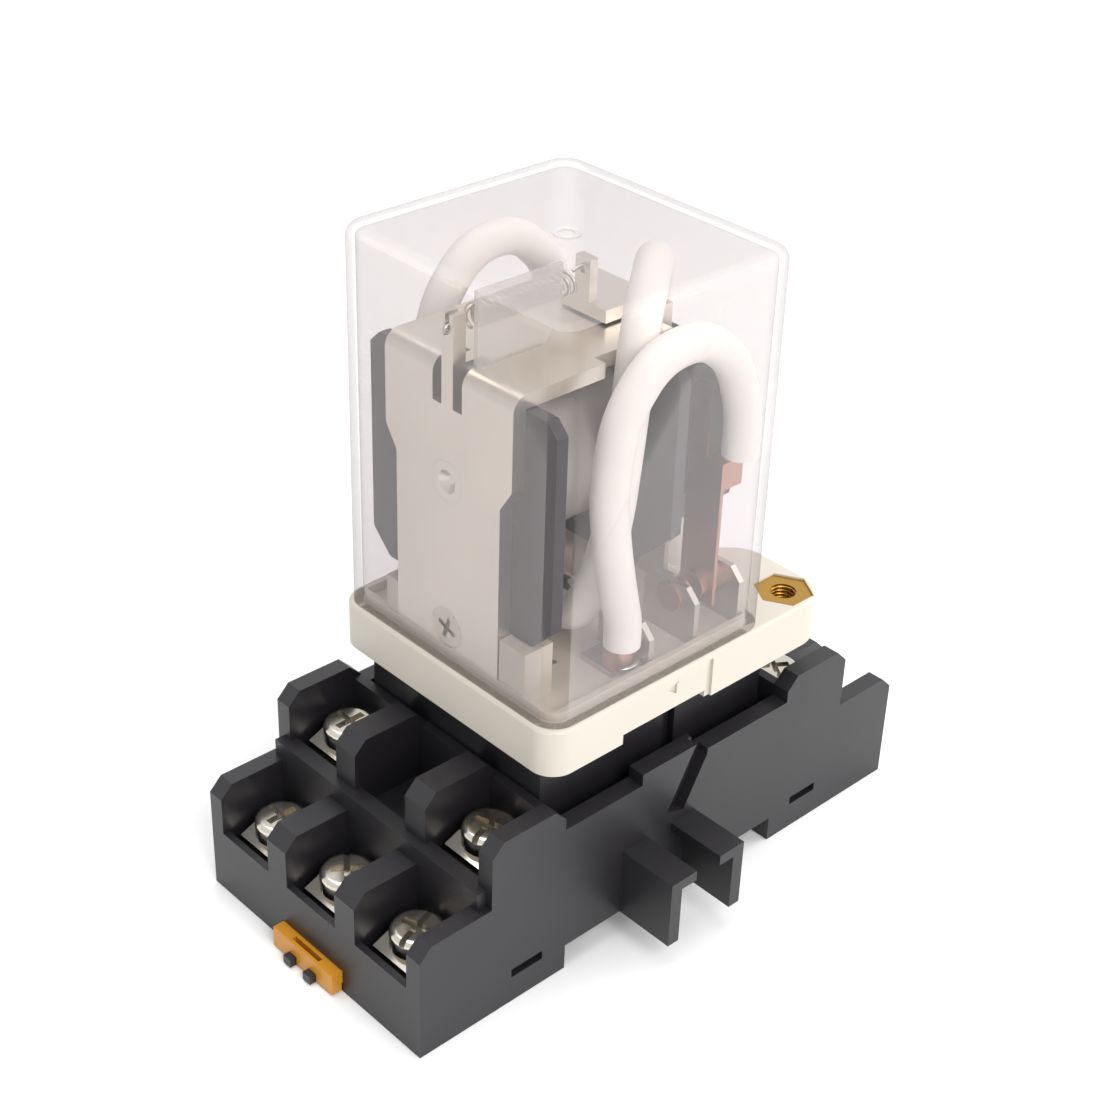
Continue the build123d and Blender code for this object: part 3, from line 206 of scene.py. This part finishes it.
def add_node(
    tree: bpy.types.NodeTree, kind: str, sets: dict[str, object] | None = None, **inputs: object
) -> bpy.types.Node:
    """Add one node and set or link its sockets.

    Args:
        tree: the node tree.
        kind: the node's bl_idname.
        sets: properties of the node itself.
        inputs: a value or an output socket for each input, by its name with spaces as underscores,
            or by the letter i and its number where names repeat.

    Returns:
        The new node.
    """
    node = tree.nodes.new(kind)
    for key, value in (sets or {}).items():
        setattr(node, key, value)
    for key, value in inputs.items():
        by_number = key[0] == "i" and key[1:].isdigit()
        socket = node.inputs[int(key[1:])] if by_number else node.inputs[key.replace("_", " ")]
        if isinstance(value, bpy.types.NodeSocket):
            tree.links.new(value, socket)
        else:
            socket.default_value = value
    return node


@dataclass
class Palette:
    """Makes each finish's material once.

    Args:
        band_scale: scale of a wave texture whose light and dark bands are each about a metre wide.
        rolled_stretch: share of the noise's scale along X, Y and Z, which draws lines out along Z.
        sleeve_distortion: how far the liner's threads wander.
        ring_distortion: how far the turning marks wander.
        patch_scale: noise scale of the broad drift, in patches about 11 mm across.
        drift: how much of a finish's mottle its colour takes.
        bump_strength: strength of every bump.
        spread: how far light spreads under a surface, in metres.
        slant_blend: how early a clear wall dims as it turns away.
        slant_clear: share of its clearness left at a slant.
        tint_share: share of its colour that light straight through it takes.
        sheet_ior: index for a thin wall's gloss, kept low so that both its faces add up to one.
        sheet_gloss: share of that gloss that is kept.
    """

    band_scale: float = 0.16
    rolled_stretch: tuple[float, float, float] = (1.0, 0.9, 0.06)
    sleeve_distortion: float = 1.0
    ring_distortion: float = 0.6
    patch_scale: float = 90.0
    drift: float = 0.45
    bump_strength: float = 0.6
    spread: float = 0.6 * MM
    slant_blend: float = 0.15
    slant_clear: float = 0.5
    tint_share: float = 0.5
    sheet_ior: float = 1.25
    sheet_gloss: float = 0.22
    made: dict[str, bpy.types.Material] = field(default_factory=dict)

    def material(self, finish: Finish) -> bpy.types.Material:
        """Return the finish's material.

        Args:
            finish: the finish to look up or build.

        Returns:
            The Blender material.
        """
        if finish.name not in self.made:
            self.made[finish.name] = self._build(finish)
        return self.made[finish.name]

    def _relief(
        self, tree: bpy.types.NodeTree, finish: Finish, place: bpy.types.NodeSocket
    ) -> bpy.types.NodeSocket:
        """Draw the fine relief of the finish's pattern.

        Args:
            tree: the material's node tree.
            finish: the finish.
            place: object coordinates, in metres.

        Returns:
            The relief's height, 0 to 1.
        """
        per_metre = 1.0 / (finish.feature_mm * MM)
        bands = per_metre * self.band_scale
        if finish.pattern is Pattern.ROLLED:
            scales = tuple(per_metre * share for share in self.rolled_stretch)
            drawn = add_node(tree, "ShaderNodeVectorMath", {"operation": "MULTIPLY"}, i0=place, i1=scales)
            return add_node(
                tree, "ShaderNodeTexNoise", Vector=drawn.outputs[0], Scale=1.0, Detail=NOISE_DETAIL
            ).outputs["Fac"]
        if finish.pattern is Pattern.TURNED:
            rings = {"wave_type": "RINGS", "rings_direction": "Z"}
            return add_node(
                tree, "ShaderNodeTexWave", rings, Vector=place, Scale=bands, Distortion=self.ring_distortion
            ).outputs["Fac"]
        if finish.pattern is Pattern.WOUND:
            across = {"bands_direction": "X"}
            return add_node(tree, "ShaderNodeTexWave", across, Vector=place, Scale=bands).outputs["Fac"]
        if finish.pattern is Pattern.BRAIDED:
            return self._braid(tree, bands, place)
        detail = GRAIN_DETAIL if finish.pattern is Pattern.MOULDED else WAVE_DETAIL
        return add_node(
            tree, "ShaderNodeTexNoise", Vector=place, Scale=per_metre, Detail=detail
        ).outputs["Fac"]

    def _braid(
        self, tree: bpy.types.NodeTree, bands: float, place: bpy.types.NodeSocket
    ) -> bpy.types.NodeSocket:
        """Cross two slanted sets of threads.

        Args:
            tree: the material's node tree.
            bands: the wave texture's scale.
            place: object coordinates, in metres.

        Returns:
            The relief's height, 0 to 1.
        """
        upside_down = (1.0, 1.0, -1.0)
        mirrored = add_node(
            tree, "ShaderNodeVectorMath", {"operation": "MULTIPLY"}, i0=place, i1=upside_down
        )
        one, two = (
            add_node(
                tree,
                "ShaderNodeTexWave",
                {"bands_direction": "DIAGONAL"},
                Vector=source,
                Scale=bands,
                Distortion=self.sleeve_distortion,
            ).outputs["Fac"]
            for source in (place, mirrored.outputs[0])
        )
        return add_node(tree, "ShaderNodeMath", {"operation": "MULTIPLY"}, i0=one, i1=two).outputs[0]

    def _build(self, finish: Finish) -> bpy.types.Material:
        """Build a procedural material from object coordinates in metres.

        Args:
            finish: the finish to build.

        Returns:
            The Blender material.
        """
        material = bpy.data.materials.new(finish.name)
        material.use_nodes = True
        tree = material.node_tree
        tree.nodes.clear()
        place = add_node(tree, "ShaderNodeTexCoord").outputs["Object"]
        relief = self._relief(tree, finish, place)
        broad = add_node(
            tree, "ShaderNodeTexNoise", Vector=place, Scale=self.patch_scale, Detail=NOISE_DETAIL
        ).outputs["Fac"]
        dim = 1.0 - self.drift * finish.mottle
        hue = linear(finish.colour)[:3]
        dark = (*(c * dim for c in hue), 1.0)
        light = (*(min(1.0, c * (2 - dim)) for c in hue), 1.0)
        colour = add_node(
            tree, "ShaderNodeMix", {"data_type": "RGBA"}, i0=broad, i6=dark, i7=light
        ).outputs[2]
        low, high = finish.roughness * (1 - finish.mottle), finish.roughness * (1 + finish.mottle)
        rough = add_node(tree, "ShaderNodeMapRange", Value=broad, To_Min=low, To_Max=high).outputs[0]
        bump = add_node(
            tree, "ShaderNodeBump", Height=relief, Strength=self.bump_strength, Distance=finish.depth_mm * MM
        )
        shader = add_node(
            tree,
            "ShaderNodeBsdfPrincipled",
            Base_Color=colour,
            Roughness=rough,
            Metallic=finish.metallic,
            IOR=finish.ior,
            Coat_Weight=finish.coat,
            Subsurface_Weight=finish.subsurface,
            Normal=bump.outputs[0],
        )
        if finish.subsurface:
            shader.inputs["Subsurface Scale"].default_value = self.spread
        surface = self._sheet(tree, finish, shader.outputs[0]) if finish.clear else shader.outputs[0]
        add_node(tree, "ShaderNodeOutputMaterial", Surface=surface)
        return material

    def _sheet(
        self, tree: bpy.types.NodeTree, finish: Finish, body: bpy.types.NodeSocket
    ) -> bpy.types.NodeSocket:
        """Thin clear wall: light goes straight through, dimmer at a slant, under a faint gloss.

        Args:
            tree: the material's node tree.
            finish: the clear finish.
            body: the shader of the finish's gloss and haze.

        Returns:
            The wall's shader.
        """
        slant = add_node(tree, "ShaderNodeLayerWeight", Blend=self.slant_blend).outputs["Facing"]
        red, green, blue, _ = linear(finish.colour)
        hue = [c / max(red, green, blue) for c in (red, green, blue)]
        straight = (*(finish.clear * (1 - self.tint_share + self.tint_share * c) for c in hue), 1.0)
        edge = (*(self.slant_clear * finish.clear * c for c in hue), 1.0)
        tint = add_node(
            tree, "ShaderNodeMix", {"data_type": "RGBA"}, i0=slant, i6=straight, i7=edge
        ).outputs[2]
        through = add_node(tree, "ShaderNodeBsdfTransparent", Color=tint)
        gloss = add_node(tree, "ShaderNodeFresnel", IOR=self.sheet_ior).outputs[0]
        share = add_node(
            tree,
            "ShaderNodeMath",
            {"operation": "MULTIPLY_ADD"},
            i0=gloss,
            i1=self.sheet_gloss,
            i2=finish.haze,
        ).outputs[0]
        return add_node(tree, "ShaderNodeMixShader", i0=share, i1=through.outputs[0], i2=body).outputs[0]


PALETTE = Palette()


def finish_piece(obj: bpy.types.Object, finish: Finish, body: str) -> None:
    """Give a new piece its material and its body.

    Args:
        obj: the piece, its place in its mesh.
        finish: its finish.
        body: the CAD body it rides on.
    """
    obj.data.materials.clear()
    obj.data.materials.append(PALETTE.material(finish))
    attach(obj, body)
    log.info("made %s in %s, on %s", obj.name, finish.name, body)


def mesh_object(name: str, mesh: bpy.types.Mesh) -> bpy.types.Object:
    """Link a mesh into the scene as an object at the origin."""
    obj = bpy.data.objects.new(name, mesh)
    bpy.context.scene.collection.objects.link(obj)
    return obj


def smooth_object(name: str, whole: bmesh.types.BMesh) -> bpy.types.Object:
    """Turn a finished bmesh into a smooth-shaded object, and free it."""
    mesh = bpy.data.meshes.new(name)
    whole.to_mesh(mesh)
    whole.free()
    for face in mesh.polygons:
        face.use_smooth = True
    return mesh_object(name, mesh)


def in_plane(x: float, y: float, z: float, offsets_mm: tuple[tuple[float, float], ...]) -> list[Vector]:
    """Place points in the upright plane through a place and the X axis.

    Args:
        x: the place's X, in metres.
        y: the plane's Y, in metres.
        z: the place's Z, in metres.
        offsets_mm: X and Z of each point from the place, in millimetres.

    Returns:
        The points, in metres.
    """
    return [Vector((x + dx * MM, y, z + dz * MM)) for dx, dz in offsets_mm]


def wire(name: str, runs: list[list[Vector]], radius: float) -> bpy.types.Object:
    """Round wires along smooth lines, joined as one mesh.

    Args:
        name: the piece's name.
        runs: control points of each wire, in metres.
        radius: the wire's radius, in metres.

    Returns:
        A mesh object at the origin.
    """
    curve = bpy.data.curves.new(name, "CURVE")
    curve.dimensions = "3D"
    curve.bevel_depth = radius
    curve.bevel_resolution = WIRE_ROUNDNESS
    curve.resolution_u = WIRE_STEPS
    curve.use_fill_caps = True
    for points in runs:
        spline = curve.splines.new("NURBS")
        spline.points.add(len(points) - 1)
        for point, place in zip(spline.points, points):
            point.co = (*place, 1.0)
        spline.order_u = 3
        spline.use_endpoint_u = True
    source = bpy.data.objects.new(name, curve)
    bpy.context.scene.collection.objects.link(source)
    mesh = bpy.data.meshes.new_from_object(source.evaluated_get(bpy.context.evaluated_depsgraph_get()))
    bpy.data.objects.remove(source)
    for face in mesh.polygons:
        face.use_smooth = True
    return mesh_object(name, mesh)


class RingStack:
    """Geometry Nodes that repeat one ring along Z, for the thread turns in a bore.

    Args:
        material: the rings' material.
    """

    def __init__(self, material: bpy.types.Material) -> None:
        """Make the node group and its named inputs."""
        self.group = bpy.data.node_groups.new("ring_stack", "GeometryNodeTree")
        self.group.interface.new_socket("Geometry", in_out="OUTPUT", socket_type="NodeSocketGeometry")
        self.sockets: dict[str, str] = {}
        for label in ("Turns", "Pitch", "Radius", "Wire"):
            kind = "NodeSocketInt" if label == "Turns" else "NodeSocketFloat"
            socket = self.group.interface.new_socket(label, in_out="INPUT", socket_type=kind)
            self.sockets[label] = socket.identifier
        self._wire_up(material)

    def _wire_up(self, material: bpy.types.Material) -> None:
        """Rings on a line of points, realized and given their material."""
        tree = self.group
        given = add_node(tree, "NodeGroupInput")
        step = add_node(tree, "ShaderNodeCombineXYZ", Z=given.outputs["Pitch"])
        turns = given.outputs["Turns"]
        line = add_node(
            tree, "GeometryNodeMeshLine", {"mode": "OFFSET"}, Count=turns, Offset=step.outputs[0]
        )
        circle = "GeometryNodeCurvePrimitiveCircle"
        path = add_node(tree, circle, Radius=given.outputs["Radius"], Resolution=RING_SIDES)
        section = add_node(tree, circle, Radius=given.outputs["Wire"], Resolution=SECTION_SIDES)
        ring = add_node(
            tree,
            "GeometryNodeCurveToMesh",
            Curve=path.outputs["Curve"],
            Profile_Curve=section.outputs["Curve"],
        )
        smooth = add_node(tree, "GeometryNodeSetShadeSmooth", Geometry=ring.outputs[0])
        spread = add_node(
            tree, "GeometryNodeInstanceOnPoints", Points=line.outputs[0], Instance=smooth.outputs[0]
        )
        real = add_node(tree, "GeometryNodeRealizeInstances", Geometry=spread.outputs[0])
        dressed = add_node(tree, "GeometryNodeSetMaterial", Geometry=real.outputs[0], Material=material)
        add_node(tree, "NodeGroupOutput", Geometry=dressed.outputs[0])

    def build(self, name: str, places: list[Vector], **values: float) -> bpy.types.Object:
        """Make one plain mesh with a stack at each place.

        Args:
            name: the piece's name.
            places: the first ring's centre in each stack, in metres.
            values: all four of the group's inputs, by label.

        Returns:
            A mesh object at the origin.
        """
        host = mesh_object(name + "_host", bpy.data.meshes.new(name + "_host"))
        modifier = host.modifiers.new("stack", "NODES")
        modifier.node_group = self.group
        for label, value in values.items():
            modifier[self.sockets[label]] = value
        host.update_tag()
        bpy.context.view_layer.update()
        one = bpy.data.meshes.new_from_object(host.evaluated_get(bpy.context.evaluated_depsgraph_get()))
        host.modifiers.remove(modifier)
        bpy.data.objects.remove(host)
        whole = bmesh.new()
        for place in places:
            copy = one.copy()
            copy.transform(Matrix.Translation(place))
            whole.from_mesh(copy)
            bpy.data.meshes.remove(copy)
        return smooth_object(name, whole)


@dataclass
class SubAssembly:
    """CAD nodes that share a body, with their finishes.

    Args:
        body: the CAD body's name.
        finishes: finish of each CAD node.
    """

    body: str
    finishes: dict[str, Finish] = field(default_factory=dict)

    def paint(self) -> None:
        """Give every CAD node its material."""
        for node, finish in self.finishes.items():
            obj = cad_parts[node]
            material = PALETTE.material(finish)
            if not obj.material_slots:
                obj.data.materials.append(material)
            for slot in obj.material_slots:
                slot.link = "OBJECT"
                slot.material = material
            log.info("dressed %s in %s, on %s", node, finish.name, self.body)

    def build(self) -> None:
        """Paint the CAD nodes; a sub-assembly with finer pieces adds them in its own build."""
        self.paint()


@dataclass
class Relay(SubAssembly):
    """The relay's base, magnet, coil, fixed contacts and leads.

    Args:
        insert_half: half an insert's width across its flats.
        thread_start: height of the lowest thread turn above the insert's foot.
        thread_turns: thread turns in each insert.
        thread_pitch: distance from turn to turn.
        thread_radius: radius of each turn's middle line.
        thread_wire: radius of each turn's section.
        hook_wire: radius of the spring's wire.
        hook_from_spring_mm: X and Z of the front hook's first points, from the spring's front end.
        hook_round_tongue_mm: X and Z of its last points, from the tongue's front face.
        coil_wire: radius of the coil's lead-out wires.
        wire_from_coil_mm: X, Y and Z of a wire's first points, from the wrap's front edge, middle and foot.
        wire_to_blade_mm: X and Z of its last points, from the blade's tip.
        blade_inset: the blade's middle, in from its edge in X.
        blade_drop: the wire's joint, down from the blade's top.
        blade_side: Y of the coil's two blades.
        bead_radius: radius of a solder bead.
        bead_flatness: height of a bead over its width.
        bead_place_mm: a bead's middle, in from the cups' box in X and Y and up from its foot.
        bead_steps: segments round a bead and rings down it.
    """

    insert_half: float = 3.3 * MM
    thread_start: float = 0.35 * MM
    thread_turns: int = 5
    thread_pitch: float = 0.5 * MM
    thread_radius: float = 1.62 * MM
    thread_wire: float = 0.14 * MM
    hook_wire: float = 0.22 * MM
    hook_from_spring_mm: tuple[tuple[float, float], ...] = ((0.3, 1.3), (-0.4, 1.2), (-0.9, 0.2))
    hook_round_tongue_mm: tuple[tuple[float, float], ...] = (
        (2.0, -0.1),
        (-0.4, 0.0),
        (-0.5, -1.0),
        (0.6, -0.9),
    )
    coil_wire: float = 0.16 * MM
    wire_from_coil_mm: tuple[tuple[float, float, float], ...] = ((1.0, 6.0, 2.2), (1.4, 6.4, -2.0))
    wire_to_blade_mm: tuple[tuple[float, float], ...] = ((0.9, 3.0), (0.1, 0.0), (0.0, -1.5))
    blade_inset: float = 1.0 * MM
    blade_drop: float = 0.6 * MM
    blade_side: float = 6.2 * MM
    bead_radius: float = 2.2 * MM
    bead_flatness: float = 0.28
    bead_place_mm: tuple[float, float, float] = (2.3, 1.9, 0.15)
    bead_steps: tuple[int, int] = (32, 16)

    def build(self) -> None:
        """Paint the relay's nodes, then add its threads, hook, wires and solder."""
        super().build()
        self.insert_threads()
        self.spring_hook()
        self.coil_wires()
        self.solder()

    def insert_threads(self) -> None:
        """Thread turns inside the two hexagonal inserts."""
        low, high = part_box("hex_inserts")
        middle_x = (low[0] + high[0]) / 2
        out = (high[1] - low[1]) / 2 - self.insert_half
        places = [Vector((middle_x, sign * out, low[2] + self.thread_start)) for sign in (-1, 1)]
        threads = RingStack(PALETTE.material(BRASS)).build(
            "insert_threads",
            places,
            Turns=self.thread_turns,
            Pitch=self.thread_pitch,
            Radius=self.thread_radius,
            Wire=self.thread_wire,
        )
        finish_piece(threads, BRASS, self.body)

    def spring_hook(self) -> None:
        """Open hook from the spring's first turn to the frame's tongue."""
        low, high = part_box("return_spring")
        y, z = (low[1] + high[1]) / 2, (low[2] + high[2]) / 2
        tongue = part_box("magnet_frame")[0][0]
        points = in_plane(low[0], y, z, self.hook_from_spring_mm)
        points += in_plane(tongue, y, z, self.hook_round_tongue_mm)
        hook = wire("spring_hook_front", [points], self.hook_wire)
        finish_piece(hook, SPRING_WIRE, self.body)

    def coil_wires(self) -> None:
        """Fine wires from the coil down to its two blades."""
        low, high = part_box("coil_wrap")
        posts_low, posts_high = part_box("coil_terminals")
        middle = (low[1] + high[1]) / 2
        runs = []
        for sign in (-1, 1):
            run = [
                Vector((low[0] + dx * MM, middle + sign * dy * MM, low[2] + dz * MM))
                for dx, dy, dz in self.wire_from_coil_mm
            ]
            tip_x, tip_z = posts_low[0] + self.blade_inset, posts_high[2] - self.blade_drop
            runs.append(run + in_plane(tip_x, sign * self.blade_side, tip_z, self.wire_to_blade_mm))
        finish_piece(wire("coil_wires", runs, self.coil_wire), ENAMELLED_WIRE, self.body)

    def solder(self) -> None:
        """Solder beads round the feet of the cups."""
        low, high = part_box("solder_cups")
        in_x, in_y, up = (size * MM for size in self.bead_place_mm)
        around, down = self.bead_steps
        flatten = Matrix.Diagonal((1, 1, self.bead_flatness, 1))
        whole = bmesh.new()
        for y in (low[1] + in_y, high[1] - in_y):
            place = Matrix.Translation((low[0] + in_x, y, low[2] + up)) @ flatten
            bmesh.ops.create_uvsphere(
                whole, u_segments=around, v_segments=down, radius=self.bead_radius, matrix=place
            )
        finish_piece(smooth_object("solder_beads", whole), SOLDER, self.body)


@dataclass
class Armature(SubAssembly):
    """The rocking armature with its carrier and moving contacts.

    Args:
        hook_wire: radius of the spring's wire.
        hook_from_spring_mm: X and Z of the rear hook's first point, from the spring's rear end.
        hook_round_tail_mm: X and Z of its last points, from the tail's front face.
    """

    hook_wire: float = 0.22 * MM
    hook_from_spring_mm: tuple[tuple[float, float], ...] = ((0.3, 1.2),)
    hook_round_tail_mm: tuple[tuple[float, float], ...] = ((-0.3, 1.6), (0.9, 1.5), (1.7, 1.1), (1.6, 0.2))

    def build(self) -> None:
        """Paint the armature's nodes, then add the spring's rear hook."""
        super().build()
        self.spring_hook()

    def spring_hook(self) -> None:
        """Hook from the spring's last turn round the armature's tail."""
        low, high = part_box("return_spring")
        y, z = (low[1] + high[1]) / 2, (low[2] + high[2]) / 2
        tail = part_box("armature")[0][0]
        points = in_plane(high[0], y, z, self.hook_from_spring_mm)
        points += in_plane(tail, y, z, self.hook_round_tail_mm)
        hook = wire("spring_hook_rear", [points], self.hook_wire)
        finish_piece(hook, SPRING_WIRE, self.body)


SUB_ASSEMBLIES: list[SubAssembly] = [
    SubAssembly(
        "socket",
        {
            "socket_body": BLACK_PLASTIC,
            "bottom_plate": BLACK_PLASTIC,
            "bottom_plate_screws": BRIGHT_NICKEL,
            "terminal_straps_left": BRIGHT_NICKEL,
            "terminal_straps_right": BRIGHT_NICKEL,
            "terminal_nuts_left": BRIGHT_NICKEL,
            "terminal_nuts_right": BRIGHT_NICKEL,
            "terminal_screws_left": BRIGHT_NICKEL,
            "terminal_screws_right": BRIGHT_NICKEL,
            "saddle_clamps_left": BRIGHT_NICKEL,
            "saddle_clamps_right": BRIGHT_NICKEL,
            "contact_clips": SPRING_BRONZE,
        },
    ),
    SubAssembly("rail_clip", {"rail_clip": ORANGE_PLASTIC, "clip_grips": BLACK_PLASTIC}),
    Relay(
        "relay",
        {
            "relay_base": CREAM_PLASTIC,
            "hex_inserts": BRASS,
            "open_contact_terminals": TINNED_COPPER,
            "closed_contact_terminals": TINNED_COPPER,
            "common_terminals": TINNED_COPPER,
            "solder_cups": CONTACT_COPPER,
            "coil_terminals": TINNED_COPPER,
            "fixed_contact_buttons": CONTACT_COPPER,
            "magnet_frame": SATIN_NICKEL,
            "frame_screw": BRIGHT_NICKEL,
            "coil_bobbin": GREY_PLASTIC,
            "coil_winding": ENAMELLED_WIRE,
            "coil_wrap": LABEL_FILM,
            "iron_core": SATIN_NICKEL,
            "spring_guard": CLEAR_CARD,
            "return_spring": SPRING_WIRE,
            "lead_near": WHITE_SLEEVE,
            "lead_middle": WHITE_SLEEVE,
            "lead_far": WHITE_SLEEVE,
        },
    ),
    Armature(
        "armature",
        {
            "armature": SATIN_NICKEL,
            "contact_carrier": GREY_PLASTIC,
            "moving_blades": CONTACT_COPPER,
            "moving_contact_buttons": CONTACT_COPPER,
            "lead_lugs": CONTACT_COPPER,
        },
    ),
    SubAssembly("cover", {"clear_cover": CLEAR_COVER}),
]


@dataclass(frozen=True)
class Lamp:
    """A square area light that faces the object.

    Args:
        name: the lamp's name.
        place: where it stands, in metres.
        size: its side, in metres.
        power: its power, in watts.
    """

    name: str
    place: tuple[float, float, float]
    size: float
    power: float


@dataclass(frozen=True)
class Studio:
    """Floor, soft lights, background and camera.

    Args:
        azimuth: the camera's turn about Z, from the front.
        elevation: the camera's height, as an angle.
        roll: the camera's tilt about its own axis.
        distance: from the target to the camera, in metres.
        target: the point the camera turns about, in metres.
        lens: focal length, in millimetres.
        shift: the lens's shift.
        clip: nearest and farthest distance drawn, in metres.
        floor_half: half the floor's side, in metres.
        floor_drop: the floor's distance below the object, in metres.
        floor_colour: the floor's colour, as sRGB hex.
        floor_roughness: roughness of its matt paper.
        floor_specular: how little gloss it has.
        lamps: key from the upper left, a weaker fill from the right, and a broad one overhead.
        world_light: strength of the world where it lights the object.
    """

    azimuth: float = math.radians(-44.45)
    elevation: float = math.radians(30.72)
    roll: float = math.radians(2.31)
    distance: float = 0.22668
    target: tuple[float, float, float] = (-0.00747, -0.00794, 0.0524)
    lens: float = 65.73
    shift: tuple[float, float] = (-0.02395, -0.02672)
    clip: tuple[float, float] = (0.01, 10.0)
    floor_half: float = 0.4
    floor_drop: float = 0.1 * MM
    floor_colour: str = "#F7F7F7"
    floor_roughness: float = 0.9
    floor_specular: float = 0.1
    lamps: tuple[Lamp, ...] = (
        Lamp("key", (-0.15, -0.65, 0.55), 0.5, 4.8),
        Lamp("fill", (0.6, -0.35, 0.35), 0.5, 2.2),
        Lamp("top", (0.05, 0.1, 0.8), 0.7, 4.4),
    )
    world_light: float = 0.55

    def build(self) -> None:
        """Set up everything that isn't the object."""
        self.floor()
        for lamp in self.lamps:
            self.light(lamp)
        self.background()
        self.camera()
        bpy.context.scene.view_settings.view_transform = "Standard"
        log.info("studio set up with %d lamps", len(self.lamps))

    def floor(self) -> None:
        """A large pale floor under the object."""
        whole = bmesh.new()
        bmesh.ops.create_grid(whole, x_segments=1, y_segments=1, size=self.floor_half)
        mesh = bpy.data.meshes.new("floor")
        whole.to_mesh(mesh)
        whole.free()
        mesh.transform(Matrix.Translation((0, 0, CAD_BOX[0][2] - self.floor_drop)))
        obj = mesh_object("floor", mesh)
        material = bpy.data.materials.new("floor_paper")
        material.use_nodes = True
        shader = material.node_tree.nodes["Principled BSDF"]
        shader.inputs["Base Color"].default_value = linear(self.floor_colour)
        shader.inputs["Roughness"].default_value = self.floor_roughness
        shader.inputs["Specular IOR Level"].default_value = self.floor_specular
        mesh.materials.append(material)

    def light(self, lamp: Lamp) -> None:
        """Set up one lamp, turned to the target."""
        light = bpy.data.lights.new(lamp.name, "AREA")
        light.size = lamp.size
        light.energy = lamp.power
        obj = bpy.data.objects.new(lamp.name, light)
        bpy.context.scene.collection.objects.link(obj)
        obj.location = lamp.place
        aim = Vector(self.target) - Vector(lamp.place)
        obj.rotation_euler = aim.to_track_quat("-Z", "Y").to_euler()

    def background(self) -> None:
        """White to the camera and in what metal and clear plastic show, softer grey as light."""
        world = bpy.data.worlds.new("studio")
        world.use_nodes = True
        tree = world.node_tree
        tree.nodes.clear()
        path = add_node(tree, "ShaderNodeLightPath")
        seen = path.outputs["Is Camera Ray"]
        for ray in ("Is Glossy Ray", "Is Transmission Ray"):
            either = {"operation": "ADD", "use_clamp": True}
            seen = add_node(tree, "ShaderNodeMath", either, i0=seen, i1=path.outputs[ray]).outputs[0]
        white = linear("#FFFFFF")
        soft = add_node(tree, "ShaderNodeBackground", Color=white, Strength=self.world_light)
        plain = add_node(tree, "ShaderNodeBackground", Color=white, Strength=1.0)
        mix = add_node(tree, "ShaderNodeMixShader", i0=seen, i1=soft.outputs[0], i2=plain.outputs[0])
        add_node(tree, "ShaderNodeOutputWorld", Surface=mix.outputs[0])
        bpy.context.scene.world = world

    def camera(self) -> None:
        """The camera, at the angle, distance and lens that show the object from its near left corner."""
        back = Vector(
            (
                math.sin(self.azimuth) * math.cos(self.elevation),
                -math.cos(self.azimuth) * math.cos(self.elevation),
                math.sin(self.elevation),
            )
        )
        right = Vector((0, 0, 1)).cross(back).normalized()
        up = back.cross(right)
        cos_roll, sin_roll = math.cos(self.roll), math.sin(self.roll)
        rolled_right = cos_roll * right + sin_roll * up
        rolled_up = -sin_roll * right + cos_roll * up
        turn = Matrix((rolled_right, rolled_up, back)).transposed().to_4x4()
        data = bpy.data.cameras.new("camera")
        data.lens = self.lens
        data.shift_x, data.shift_y = self.shift
        data.clip_start, data.clip_end = self.clip
        obj = bpy.data.objects.new("camera", data)
        bpy.context.scene.collection.objects.link(obj)
        obj.matrix_world = Matrix.Translation(Vector(self.target) + back * self.distance) @ turn
        bpy.context.scene.camera = obj


def main() -> None:
    """Dress every sub-assembly and set up the studio."""
    logging.basicConfig(level=logging.INFO)
    for sub_assembly in SUB_ASSEMBLIES:
        sub_assembly.build()
    Studio().build()


if __name__ == "__main__":
    main()
